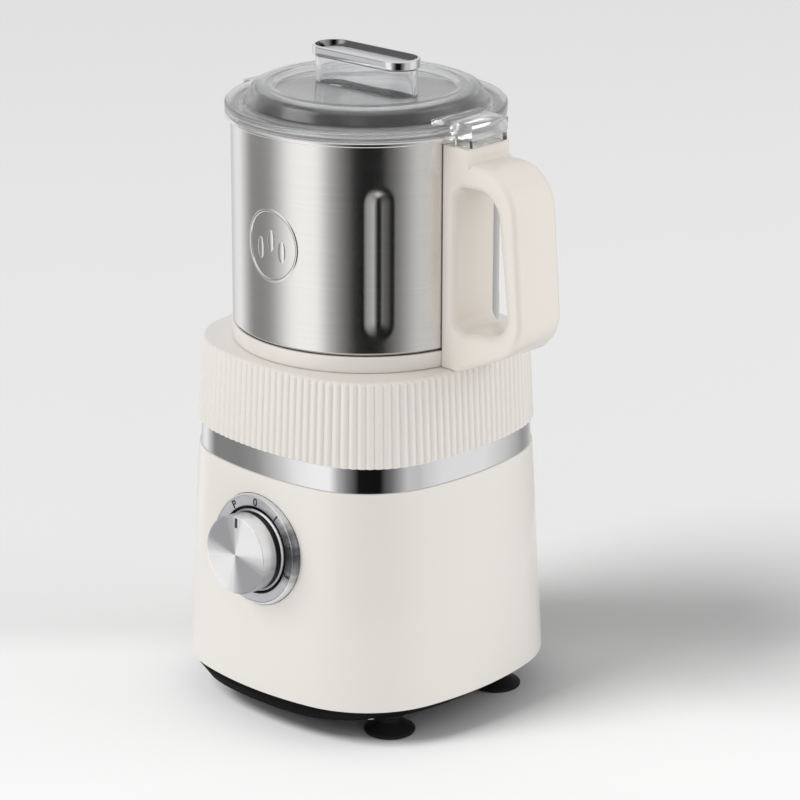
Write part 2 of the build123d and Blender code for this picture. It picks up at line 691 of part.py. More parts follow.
# Cord gland: flanged bush with a snap shoulder behind the wall
with BuildPart() as cord_gland:
    disc(GLAND_FLANGE_RADIUS, -GLAND_SEAT, GLAND_FLANGE, plane=GLAND_PLANE)
    disc(GLAND_BARREL_RADIUS, -GLAND_DEPTH, -GLAND_SEAT, plane=GLAND_PLANE)
    disc(GLAND_BORE, -GLAND_DEPTH - OVERRUN, GLAND_FLANGE + OVERRUN, Mode.SUBTRACT, plane=GLAND_PLANE)
    flange_rim = cord_gland.edges().filter_by(GeomType.CIRCLE).sort_by(SortBy.RADIUS)[-2:]
    chamfer(flange_rim.sort_by(Axis.Y)[-1:], GLAND_SEAT)
save(cord_gland.part, "cord_gland")

# Bright band, trapped between housing and collar
with BuildPart() as chrome_band:
    tapered(Z_BAND, Z_COLLAR, BAND_INSET)
    tapered(Z_BAND - OVERRUN, Z_COLLAR + OVERRUN, BAND_INSET + BAND_THICKNESS, Mode.SUBTRACT)
save(chrome_band.part, "chrome_band")

# Reeded collar with deck, well and sump; its spigot stands in the housing shelf
motor_posts = corners(MOTOR_POST_X, MOTOR_POST_Y)
z_damper_top = Z_BRACKET_TOP + DAMPER_HEIGHT
slot_width = ROD_WIDTH + 2 * SLIDE
slot_start = PLUNGER_X - PLUNGER_SIDE / 2 - SLIDE
slot_end = ROD_BACK + SLIDE
pad_places = [(SAFETY_SCREW_SPREAD, Z_SAFETY_SCREW), (-SAFETY_SCREW_SPREAD, Z_SAFETY_SCREW)]
with BuildPart() as collar_hollow:
    tapered(Z_COLLAR + COLLAR_LIP, Z_DECK_UNDER, COLLAR_WALL)
    tapered(Z_BAND - OVERRUN, Z_COLLAR + COLLAR_LIP, SPIGOT_INSET + SPIGOT_WALL)
    disc(WELL_RADIUS + WELL_WALL, Z_WELL - WELL_WALL, Z_DECK, Mode.SUBTRACT)
    disc(SUMP_RADIUS + WELL_WALL, Z_SUMP - WELL_WALL, Z_DECK, Mode.SUBTRACT)
    disc(COLLAR_POST_RADIUS, Z_BAND - OVERRUN, Z_DECK, Mode.SUBTRACT, collar_posts)
    disc(MOTOR_POST_RADIUS, z_damper_top, Z_DECK, Mode.SUBTRACT, motor_posts)
    disc(
        SAFETY_PAD_RADIUS, SAFETY_BACK, DECK_HALF_WIDTH,
        Mode.SUBTRACT, pad_places, Plane.YZ,
    )
with BuildPart() as reeded_collar:
    edge_level = Z_DECK - REED_EDGE
    loft([reeded_outline(Z_COLLAR, 0), reeded_outline(edge_level, 0)], ruled=True)
    loft([reeded_outline(edge_level, 0), reeded_outline(Z_DECK, REED_EDGE)], ruled=True)
    tapered(Z_BAND, Z_COLLAR, SPIGOT_INSET)
    add(collar_hollow.part, mode=Mode.SUBTRACT)
    disc(WELL_RADIUS, Z_WELL, Z_DECK + OVERRUN, Mode.SUBTRACT)
    disc(SUMP_RADIUS, Z_SUMP, Z_DECK + OVERRUN, Mode.SUBTRACT)
    disc(SHAFT_HOLE_RADIUS, Z_SUMP - WELL_WALL - OVERRUN, Z_SUMP + OVERRUN, Mode.SUBTRACT)
    disc(
        CASE_SCREW_RADIUS + FIT, Z_BAND - OVERRUN, Z_BAND + CASE_SCREW_LENGTH + OVERRUN,
        Mode.SUBTRACT, collar_posts,
    )
    disc(
        CASE_SCREW_RADIUS + FIT, z_damper_top - OVERRUN, Z_BRACKET + MOTOR_SCREW_LENGTH + OVERRUN,
        Mode.SUBTRACT, motor_posts,
    )
    disc(
        SAFETY_SCREW_RADIUS + FIT, SAFETY_BACK - OVERRUN, SAFETY_BACK + SAFETY_SCREW_GRIP + SEAT,
        Mode.SUBTRACT, pad_places, Plane.YZ,
    )
    block(
        (slot_start, slot_end), (-slot_width / 2, slot_width / 2),
        (Z_DECK_UNDER - OVERRUN, Z_DECK + OVERRUN), Mode.SUBTRACT,
    )
save(reeded_collar.part, "reeded_collar")

# Motor brackets: plates with four legs on the stator and a bearing boss
bolts = corners(BOLT_X, BOLT_Y)


def bracket_plate(low):
    """Rounded plate of a motor bracket."""
    with BuildSketch(Plane.XY.offset(low)) as sketch:
        RectangleRounded(BRACKET_LENGTH, BRACKET_WIDTH, BRACKET_CORNER)
    extrude(sketch.sketch, amount=BRACKET_THICKNESS)


upper_boss_top = Z_BRACKET + BEARING_LIP + BEARING_HEIGHT + BEARING_LIP
with BuildPart() as upper_bracket:
    bracket_plate(Z_BRACKET)
    with BuildSketch(Plane.XY.offset(Z_BRACKET)):
        RectangleRounded(EAR_SPAN, EAR_WIDTH, EAR_RADIUS)
    extrude(amount=BRACKET_THICKNESS)
    disc(LEG_RADIUS, Z_STACK_TOP, Z_BRACKET, places=bolts)
    disc(BEARING_BOSS_RADIUS, Z_BRACKET, upper_boss_top)
    disc(BEARING_RADIUS, Z_BRACKET + BEARING_LIP, upper_boss_top + OVERRUN, Mode.SUBTRACT)
    disc(SHAFT_HOLE_RADIUS, Z_BRACKET - OVERRUN, upper_boss_top, Mode.SUBTRACT)
    disc(BOLT_RADIUS + FIT, Z_STACK_TOP - OVERRUN, Z_BRACKET_TOP + OVERRUN, Mode.SUBTRACT, bolts)
    disc(
        CASE_SCREW_RADIUS + SEAT, Z_BRACKET - OVERRUN, Z_BRACKET_TOP + OVERRUN,
        Mode.SUBTRACT, motor_posts,
    )
save(upper_bracket.part, "upper_bracket")

lower_boss = Z_LOWER_TOP - BEARING_HEIGHT - BEARING_LIP
with BuildPart() as lower_bracket:
    bracket_plate(Z_LOWER)
    disc(LEG_RADIUS, Z_LOWER_TOP, Z_STACK, places=bolts)
    disc(BEARING_BOSS_RADIUS, lower_boss, Z_LOWER_TOP)
    disc(BEARING_RADIUS, lower_boss + BEARING_LIP, Z_LOWER_TOP + OVERRUN, Mode.SUBTRACT)
    disc(SHAFT_HOLE_RADIUS, lower_boss - OVERRUN, Z_LOWER_TOP, Mode.SUBTRACT)
    disc(BOLT_RADIUS + FIT, Z_LOWER - OVERRUN, Z_STACK + OVERRUN, Mode.SUBTRACT, bolts)
save(lower_bracket.part, "lower_bracket")

bearing_levels = (Z_BRACKET + BEARING_LIP, lower_boss + BEARING_LIP)
with BuildPart() as motor_bearings:
    for level in bearing_levels:
        disc(BEARING_RADIUS - FIT, level, level + BEARING_HEIGHT)
        disc(SHAFT_RADIUS + FIT, level - OVERRUN, level + BEARING_HEIGHT + OVERRUN, Mode.SUBTRACT)
save(motor_bearings.part, "motor_bearings")

save(
    screws(
        bolts, Z_LOWER, Z_BRACKET_TOP - Z_LOWER, 1,
        BOLT_HEAD_RADIUS, BOLT_HEAD_HEIGHT, BOLT_RADIUS,
    ),
    "motor_bolts",
)

with BuildPart() as motor_dampers:
    disc(DAMPER_RADIUS, Z_BRACKET_TOP, z_damper_top, places=motor_posts)
    disc(CASE_SCREW_RADIUS + SEAT, Z_BRACKET, Z_DECK, Mode.SUBTRACT, motor_posts)
save(motor_dampers.part, "motor_dampers")

save(
    screws(
        motor_posts, Z_BRACKET, MOTOR_SCREW_LENGTH, 1,
        CASE_HEAD_RADIUS, CASE_HEAD_HEIGHT, CASE_SCREW_RADIUS,
    ),
    "motor_screws",
)

# Stator with two coils, each round one pole
coil_x = (COIL_START, COIL_START + COIL_DEPTH)
coil_window = COIL_HALF_SPAN - COIL_LEG
coil_sides = [(-COIL_HALF_SPAN, -coil_window), (coil_window, COIL_HALF_SPAN)]
with BuildPart() as stator_core:
    with BuildSketch(Plane.XY.offset(Z_STACK)):
        RectangleRounded(BRACKET_LENGTH, BRACKET_WIDTH, BRACKET_CORNER)
    extrude(amount=STACK_HEIGHT)
    disc(BORE_RADIUS, Z_STACK - OVERRUN, Z_STACK_TOP + OVERRUN, Mode.SUBTRACT)
    disc(BOLT_RADIUS + SEAT, Z_STACK - OVERRUN, Z_STACK_TOP + OVERRUN, Mode.SUBTRACT, bolts)
    for side in (-1, 1):
        slot_x = sorted((side * (coil_x[0] - SEAT), side * (coil_x[1] + SEAT)))
        for leg in coil_sides:
            slot_y = (leg[0] - SEAT, leg[1] + SEAT)
            block(slot_x, slot_y, (Z_STACK - OVERRUN, Z_STACK_TOP + OVERRUN), Mode.SUBTRACT)
save(stator_core.part, "stator_core")

with BuildPart() as field_coils:
    for side in (-1, 1):
        span_x = sorted((side * coil_x[0], side * coil_x[1]))
        span_z = (Z_STACK - COIL_RISE, Z_STACK_TOP + COIL_RISE)
        block(span_x, (-COIL_HALF_SPAN, COIL_HALF_SPAN), span_z)
        window_x = (span_x[0] - OVERRUN, span_x[1] + OVERRUN)
        window_y = (-coil_window, coil_window)
        block(window_x, window_y, (Z_STACK - SLIDE, Z_STACK_TOP + SLIDE), Mode.SUBTRACT)
save(field_coils.part, "field_coils")

# Rotor: shaft, core, windings, commutator, fan and drive coupling turn together
shaft_bore = SHAFT_RADIUS + FIT
shaft_bottom = lower_boss + BEARING_LIP
shaft_top = Z_DRIVE_FACE + DOG_HEIGHT - OVERRUN
with BuildPart() as motor_shaft:
    disc(SHAFT_RADIUS, shaft_bottom, shaft_top)
    chamfer(motor_shaft.edges().filter_by(GeomType.CIRCLE), SHAFT_CHAMFER)
save(motor_shaft.part, "motor_shaft")

with BuildPart() as rotor_core:
    disc(BORE_RADIUS - AIR_GAP, Z_STACK, Z_STACK_TOP)
    disc(shaft_bore, Z_STACK - OVERRUN, Z_STACK_TOP + OVERRUN, Mode.SUBTRACT)
save(rotor_core.part, "rotor_core")

with BuildPart() as rotor_windings:
    for low, high in ((Z_STACK - WINDING_RISE, Z_STACK), (Z_STACK_TOP, Z_STACK_TOP + WINDING_RISE)):
        disc(WINDING_RADIUS, low, high)
        disc(WINDING_BORE, low - OVERRUN, high + OVERRUN, Mode.SUBTRACT)
save(rotor_windings.part, "rotor_windings")

commutator_low = Z_LOWER_TOP + COMMUTATOR_LIFT
commutator_high = commutator_low + COMMUTATOR_HEIGHT
with BuildPart() as commutator:
    disc(COMMUTATOR_RADIUS, commutator_low, commutator_high)
    disc(shaft_bore, commutator_low - OVERRUN, commutator_high + OVERRUN, Mode.SUBTRACT)
save(commutator.part, "commutator")

brush_middle = (commutator_low + commutator_high) / 2
brush_tip = COMMUTATOR_RADIUS + SEAT
holder_start = COMMUTATOR_RADIUS + HOLDER_GAP
with BuildPart() as carbon_brushes:
    for side in (-1, 1):
        block(
            sorted((side * brush_tip, side * (brush_tip + BRUSH_LENGTH))),
            (-BRUSH_WIDTH / 2, BRUSH_WIDTH / 2),
            (brush_middle - BRUSH_HEIGHT / 2, brush_middle + BRUSH_HEIGHT / 2),
        )
save(carbon_brushes.part, "carbon_brushes")

holder_half_width = BRUSH_WIDTH / 2 + SEAT + HOLDER_WALL
holder_top = brush_middle + BRUSH_HEIGHT / 2 + SEAT + HOLDER_WALL
with BuildPart() as brush_holders:
    for side in (-1, 1):
        span_x = sorted((side * holder_start, side * HOLDER_END))
        block(span_x, (-holder_half_width, holder_half_width), (Z_LOWER_TOP, holder_top))
        block(
            sorted((side * (holder_start - OVERRUN), side * (HOLDER_END - HOLDER_WALL))),
            (-BRUSH_WIDTH / 2 - SEAT, BRUSH_WIDTH / 2 + SEAT),
            (brush_middle - BRUSH_HEIGHT / 2 - SEAT, brush_middle + BRUSH_HEIGHT / 2 + SEAT),
            Mode.SUBTRACT,
        )
    disc(BEARING_RADIUS, Z_LOWER_TOP - OVERRUN, commutator_low, Mode.SUBTRACT)
save(brush_holders.part, "brush_holders")

blade_start = FAN_HUB_RADIUS - OVERRUN
with BuildPart() as cooling_fan:
    disc(FAN_RADIUS, Z_FAN, Z_FAN + FAN_DISC)
    disc(FAN_HUB_RADIUS, Z_FAN, Z_FAN_TOP)
    with PolarLocations((blade_start + FAN_RADIUS) / 2, FAN_BLADES):
        with Locations((0, 0, (Z_FAN + Z_FAN_TOP) / 2)):
            Box(FAN_RADIUS - blade_start, FAN_DISC, FAN_HEIGHT)
    disc(FAN_RADIUS, Z_FAN, Z_FAN_TOP, Mode.INTERSECT)
    disc(shaft_bore, Z_FAN - OVERRUN, Z_FAN_TOP + OVERRUN, Mode.SUBTRACT)
save(cooling_fan.part, "cooling_fan")


def dogs(low, high, start_angle):
    """Ring of coupling dogs between two levels."""
    with BuildSketch(Plane.XY.offset(low)) as sketch:
        for dog in range(DOG_COUNT):
            with BuildLine():
                start = start_angle + dog * 360 / DOG_COUNT - DOG_ANGLE / 2
                outer = CenterArc((0, 0), COUPLING_RADIUS, start, DOG_ANGLE)
                inner = CenterArc((0, 0), DOG_INNER_RADIUS, start, DOG_ANGLE)
                Line(inner @ 0, outer @ 0)
                Line(inner @ 1, outer @ 1)
            make_face()
    extrude(sketch.sketch, amount=high - low)


with BuildPart() as drive_coupling:
    disc(COUPLING_RADIUS, Z_DRIVE, Z_DRIVE_FACE)
    dogs(Z_DRIVE_FACE, Z_DRIVE_FACE + DOG_HEIGHT, 0)
    disc(shaft_bore, Z_DRIVE - OVERRUN, Z_DRIVE_FACE + OVERRUN, Mode.SUBTRACT)
save(drive_coupling.part, "drive_coupling")

with BuildPart() as driven_coupling:
    disc(COUPLING_RADIUS, Z_DRIVEN, Z_DRIVEN_TOP)
    dogs(Z_DRIVEN - DOG_HEIGHT, Z_DRIVEN, 180 / DOG_COUNT)
    disc(BLADE_SHAFT_RADIUS + FIT, Z_DRIVEN - OVERRUN, Z_DRIVEN_TOP + OVERRUN, Mode.SUBTRACT)
save(driven_coupling.part, "driven_coupling")

# Rotary switch behind the front wall, its nut, and the bezel that the nut clamps
bezel_floor = BEZEL_PROUD - BEZEL_POCKET_DEPTH
with BuildPart() as dial_bezel:
    disc(BEZEL_RADIUS, -BEZEL_SEAT, BEZEL_PROUD, plane=KNOB_PLANE)
    chamfer(dial_bezel.edges().filter_by(GeomType.CIRCLE).sort_by(Axis.Y)[0], BEZEL_BEVEL)
    disc(
        KNOB_SKIRT_RADIUS + KNOB_GAP, bezel_floor, BEZEL_PROUD + OVERRUN,
        Mode.SUBTRACT, plane=KNOB_PLANE,
    )
    disc(
        SWITCH_BUSH_RADIUS + SEAT, -BEZEL_SEAT - OVERRUN, BEZEL_PROUD,
        Mode.SUBTRACT, plane=KNOB_PLANE,
    )
save(dial_bezel.part, "dial_bezel")

nut_top = bezel_floor + SWITCH_NUT_HEIGHT
bush_top = nut_top + BUSH_STAND
with BuildPart() as switch_nut:
    hexagon(SWITCH_NUT_RADIUS, SWITCH_BUSH_RADIUS + FIT, bezel_floor, nut_top, KNOB_PLANE)
save(switch_nut.part, "switch_nut")

switch_back = -PAD_DEPTH - SWITCH_DEPTH
spindle_start = -PAD_DEPTH - SWITCH_DEPTH / 2
with BuildPart() as rotary_switch:
    with BuildSketch(KNOB_PLANE.offset(switch_back)):
        RectangleRounded(SWITCH_SIDE, SWITCH_SIDE, SPINDLE_RADIUS)
    extrude(amount=SWITCH_DEPTH)
    disc(SWITCH_BUSH_RADIUS, -PAD_DEPTH, bush_top, plane=KNOB_PLANE)
    disc(SPINDLE_RADIUS + FIT, spindle_start, bush_top + OVERRUN, Mode.SUBTRACT, plane=KNOB_PLANE)
save(rotary_switch.part, "rotary_switch")

spindle_end = KNOB_TOP - KNOB_WALL
with BuildPart() as switch_spindle:
    disc(SPINDLE_RADIUS, spindle_start + KNOB_GAP, spindle_end, plane=KNOB_PLANE)
save(switch_spindle.part, "switch_spindle")

with BuildPart() as knob:
    disc(KNOB_RADIUS, KNOB_START, KNOB_TOP, plane=KNOB_PLANE)
    chamfer(knob.edges().filter_by(GeomType.CIRCLE).sort_by(Axis.Y)[0], KNOB_EDGE)
    disc(KNOB_SKIRT_RADIUS, KNOB_START, KNOB_START + KNOB_SKIRT_HEIGHT, plane=KNOB_PLANE)
    disc(KNOB_RADIUS - KNOB_WALL, KNOB_START - OVERRUN, spindle_end, Mode.SUBTRACT, plane=KNOB_PLANE)
    disc(KNOB_HUB_RADIUS, bush_top + KNOB_GAP, spindle_end, plane=KNOB_PLANE)
    disc(SPINDLE_RADIUS + FIT, bush_top, spindle_end, Mode.SUBTRACT, plane=KNOB_PLANE)
save(knob.part, "knob")

# Steel cup: turned shell, four pressed ribs and a raised badge of three grains
neck_top = Z_CUP + CUP_NECK
neck_bottom = Z_CUP_FLOOR + CUP_CORNER
rib_middle_level = Z_CUP + RIB_BOTTOM + RIB_LENGTH / 2


def cup_profile(wall):
    """Half section of the cup, drawn in by a wall all round, open at the top."""
    floor = Z_CUP_FLOOR + wall
    radius = NECK_RADIUS - wall
    with BuildSketch(Plane.XZ) as sketch:
        with BuildLine():
            Polyline(
                (0, Z_RIM), (0, floor), (NECK_RADIUS - CUP_CORNER, floor),
            )
            RadiusArc((NECK_RADIUS - CUP_CORNER, floor), (radius, neck_bottom), wall - CUP_CORNER)
            Polyline(
                (radius, neck_bottom), (radius, neck_top - CUP_NECK),
                (CUP_RADIUS - wall, neck_top), (CUP_RADIUS - wall, Z_RIM), (0, Z_RIM),
            )
        make_face()
    return sketch.sketch


def rib_form(shift, grow):
    """Boat-shaped forms of the four pressed ribs, moved inward by a shift."""
    half_turn = 2 * QUARTER_TURN
    for angle in (RIB_ANGLE, -RIB_ANGLE, half_turn - RIB_ANGLE, half_turn + RIB_ANGLE):
        outward = Vector(0, -1, 0).rotate(Axis.Z, angle)
        along = Vector(1, 0, 0).rotate(Axis.Z, angle)
        middle = outward * (CUP_RADIUS - shift) + Vector(0, 0, rib_middle_level)
        mouth = Plane(middle, along, outward)
        sections = []
        for offset, width in ((0, RIB_WIDTH + grow), (-RIB_DEPTH, RIB_CREASE + grow)):
            with BuildSketch(mouth.offset(offset)) as sketch:
                SlotOverall(RIB_LENGTH - RIB_WIDTH + width, width, rotation=QUARTER_TURN)
            sections.append(sketch.sketch)
        yield sections


badge_level = Z_CUP + BADGE_CENTRE
badge_plane = Plane.XZ.offset(CUP_RADIUS - BADGE_SAG)
with BuildPart() as badge:
    with BuildSketch(badge_plane):
        with Locations((0, badge_level)):
            Ellipse(BADGE_WIDTH / 2, BADGE_HEIGHT / 2)
            Ellipse(
                BADGE_WIDTH / 2 - BADGE_LINE, BADGE_HEIGHT / 2 - BADGE_LINE, mode=Mode.SUBTRACT,
            )
        with Locations(
            (-GRAIN_SPREAD, badge_level - GRAIN_STEP / 2), (0, badge_level + GRAIN_STEP / 2),
            (GRAIN_SPREAD, badge_level - GRAIN_STEP / 2),
        ):
            Ellipse(GRAIN_WIDTH / 2, GRAIN_LENGTH / 2)
    extrude(amount=2 * BADGE_SAG)
    disc(CUP_RADIUS + BADGE_RISE, Z_CUP, Z_RIM, Mode.INTERSECT)
    disc(CUP_RADIUS - CUP_WALL / 2, Z_CUP - OVERRUN, Z_RIM + OVERRUN, Mode.SUBTRACT)

with BuildPart() as cup_inside:
    revolve(cup_profile(CUP_WALL), Axis.Z)
    for sections in rib_form(CUP_WALL, 2 * CUP_WALL):
        loft(sections, ruled=True, mode=Mode.SUBTRACT)
with BuildPart() as cup_shell:
    revolve(cup_profile(0), Axis.Z)
    for sections in rib_form(0, 0):
        loft(sections, ruled=True, mode=Mode.SUBTRACT)
    add(cup_inside.part, mode=Mode.SUBTRACT)
    add(badge.part)
    disc(SLEEVE_RADIUS + SEAT, Z_CUP_FLOOR - OVERRUN, Z_CUP_INSIDE + OVERRUN, Mode.SUBTRACT)
    rim_low = Z_RIM - RIM_HEIGHT
    turned(
        [
            (CUP_INSIDE, rim_low), (RIM_RADIUS - RIM_EDGE, rim_low), (RIM_RADIUS, rim_low + RIM_EDGE),
            (RIM_RADIUS, Z_RIM - RIM_EDGE), (RIM_RADIUS - RIM_EDGE, Z_RIM), (CUP_INSIDE, Z_RIM),
        ]
    )
save(cup_shell.part, "cup_shell")

# Cup base: ring round the neck of the cup, disc under its floor, spigot in the well
ring_inside = NECK_RADIUS + SEAT
spigot_radius = WELL_RADIUS - SLIDE
with BuildPart() as cup_base:
    disc(RING_RADIUS, Z_DECK, Z_CUP)
    disc(ring_inside, Z_CUP_FLOOR, Z_CUP + OVERRUN, Mode.SUBTRACT)
    disc(spigot_radius, Z_DECK - SPIGOT_DEPTH, Z_DECK)
    disc(spigot_radius - SPIGOT_THICKNESS, Z_DECK - SPIGOT_DEPTH - OVERRUN, Z_DECK, Mode.SUBTRACT)
    disc(RING_HOLE_RADIUS, Z_DECK - OVERRUN, Z_CUP, Mode.SUBTRACT)
save(cup_base.part, "cup_base")

# Bearing sleeve through the cup floor, with its gasket, nut, bushes and seal
with BuildPart() as floor_gasket:
    disc(SLEEVE_FLANGE_RADIUS, Z_CUP_INSIDE, Z_SLEEVE_SEAT)
    disc(SLEEVE_RADIUS + SEAT, Z_CUP_INSIDE - OVERRUN, Z_SLEEVE_SEAT + OVERRUN, Mode.SUBTRACT)
save(floor_gasket.part, "floor_gasket")

with BuildPart() as bearing_sleeve:
    disc(SLEEVE_FLANGE_RADIUS, Z_SLEEVE_SEAT, Z_SLEEVE_TOP)
    disc(SLEEVE_RADIUS, Z_SLEEVE, Z_SLEEVE_SEAT)
    disc(SLEEVE_SHOULDER, Z_SLEEVE - OVERRUN, Z_SLEEVE_TOP + OVERRUN, Mode.SUBTRACT)
    disc(SLEEVE_BORE, Z_SLEEVE_TOP - BUSH_HEIGHT, Z_SLEEVE_TOP + OVERRUN, Mode.SUBTRACT)
    disc(SLEEVE_BORE, Z_SLEEVE - OVERRUN, Z_SLEEVE + BUSH_HEIGHT, Mode.SUBTRACT)
save(bearing_sleeve.part, "bearing_sleeve")

with BuildPart() as shaft_bushes:
    for level in (Z_SLEEVE, Z_SLEEVE_TOP - BUSH_HEIGHT):
        disc(SLEEVE_BORE - FIT, level, level + BUSH_HEIGHT)
        disc(BLADE_SHAFT_RADIUS + FIT, level - OVERRUN, level + BUSH_HEIGHT + OVERRUN, Mode.SUBTRACT)
save(shaft_bushes.part, "shaft_bushes")

with BuildPart() as sleeve_nut:
    hexagon(SLEEVE_NUT_RADIUS, SLEEVE_RADIUS + FIT, Z_CUP_FLOOR - SLEEVE_NUT_HEIGHT, Z_CUP_FLOOR)
save(sleeve_nut.part, "sleeve_nut")

with BuildPart() as shaft_seal:
    disc(SEAL_RADIUS, Z_SLEEVE_TOP, Z_SLEEVE_TOP + SEAL_HEIGHT - SLIDE)
    disc(BLADE_SHAFT_RADIUS + SEAT, Z_SLEEVE_TOP - OVERRUN, Z_LOWER_BLADE, Mode.SUBTRACT)
save(shaft_seal.part, "shaft_seal")

# Blade shaft with a collar, two bent blades, a spacer and a domed nut
nut_dome_top = Z_BLADE_NUT + BLADE_NUT_HEIGHT + NUT_DOME_RADIUS / 2
with BuildPart() as blade_shaft:
    disc(BLADE_SHAFT_RADIUS, Z_DRIVEN + DOG_GAP, Z_BLADE_NUT + BLADE_NUT_HEIGHT)
    disc(BLADE_COLLAR_RADIUS, Z_LOWER_BLADE - BLADE_COLLAR_HEIGHT, Z_LOWER_BLADE)
save(blade_shaft.part, "blade_shaft")


def blade(level, tip_rise, angle):
    """Two-armed blade: flat at the hub, arms bent towards their tips, tapering in plan."""
    low = min(level, level + tip_rise) - OVERRUN
    high = max(level, level + tip_rise) + BLADE_THICKNESS + OVERRUN
    section = Plane.XZ.rotated((0, 0, angle))
    with BuildPart() as arms:
        with BuildSketch(section) as profile:
            with BuildLine():
                Polyline(
                    (-BLADE_REACH, level + tip_rise), (-BLADE_FLAT, level), (BLADE_FLAT, level),
                    (BLADE_REACH, level + tip_rise), (BLADE_REACH, level + tip_rise + BLADE_THICKNESS),
                    (BLADE_FLAT, level + BLADE_THICKNESS), (-BLADE_FLAT, level + BLADE_THICKNESS),
                    (-BLADE_REACH, level + tip_rise + BLADE_THICKNESS), close=True,
                )
            make_face()
        extrude(profile.sketch, amount=BLADE_ROOT_WIDTH, both=True)
        with BuildSketch(Plane.XY.offset(low).rotated((0, 0, angle))) as plan:
            Circle(BLADE_HUB_RADIUS)
            for side in (-1, 1):
                with BuildLine():
                    Polyline(
                        (0, -side * BLADE_ROOT_WIDTH / 2),
                        (side * BLADE_REACH, -side * (BLADE_ROOT_WIDTH / 2 - BLADE_TIP_WIDTH)),
                        (side * BLADE_FLAT, side * BLADE_ROOT_WIDTH / 2), (0, side * BLADE_ROOT_WIDTH / 2),
                        close=True,
                    )
                make_face()
        extrude(plan.sketch, amount=high - low, mode=Mode.INTERSECT)
        disc(BLADE_SHAFT_RADIUS + FIT, low - OVERRUN, high + OVERRUN, Mode.SUBTRACT)
    return arms.part


save(blade(Z_LOWER_BLADE, LOWER_TIP_RISE, 0), "lower_blade")
save(blade(Z_UPPER_BLADE, UPPER_TIP_RISE, QUARTER_TURN), "upper_blade")

with BuildPart() as blade_spacer:
    disc(SPACER_RADIUS, Z_LOWER_BLADE + BLADE_THICKNESS, Z_UPPER_BLADE)
    disc(BLADE_SHAFT_RADIUS + FIT, Z_LOWER_BLADE, Z_UPPER_BLADE + OVERRUN, Mode.SUBTRACT)
save(blade_spacer.part, "blade_spacer")

with BuildPart() as blade_nut:
    hexagon(BLADE_NUT_RADIUS, BLADE_SHAFT_RADIUS + FIT, Z_BLADE_NUT, Z_BLADE_NUT + BLADE_NUT_HEIGHT)
    disc(NUT_DOME_RADIUS, Z_BLADE_NUT + BLADE_NUT_HEIGHT, nut_dome_top)
    fillet(blade_nut.faces().sort_by(Axis.Z)[-1].edges(), NUT_DOME_FILLET)
save(blade_nut.part, "blade_nut")

# Handle: a D in side view, hugging the cup, with a slot and a cavity for the push rod
half_width = HANDLE_WIDTH / 2
cavity_half = ROD_HEAD_WIDTH / 2 + SLIDE
rod_half = ROD_WIDTH / 2 + SLIDE
lug_places = [(CUP_RADIUS + LUG_DEPTH / 2, side * LUG_SPREAD) for side in (-1, 1)]
upper_lug = Z_BOSS - LUG_INSET
lower_lug = Z_CUP + LUG_LIFT
with BuildPart() as grip_hole:
    with BuildSketch(Plane.XZ):
        with BuildLine():
            FilletPolyline(
                (CUP_INSIDE, Z_GRIP_HOLE), (CUP_RADIUS + GRIP_HOLE_LOW_REACH, Z_GRIP_HOLE),
                (CUP_RADIUS + GRIP_HOLE_TOP_REACH, Z_GRIP_HOLE_TOP), (CUP_INSIDE, Z_GRIP_HOLE_TOP),
                radius=[0, GRIP_HOLE_LOW_RADIUS, GRIP_HOLE_TOP_RADIUS, 0], close=True,
            )
        make_face()
    extrude(amount=half_width + OVERRUN, both=True)
    disc(CUP_RADIUS + ROOT_THICKNESS, Z_DECK, Z_RIM, Mode.SUBTRACT)
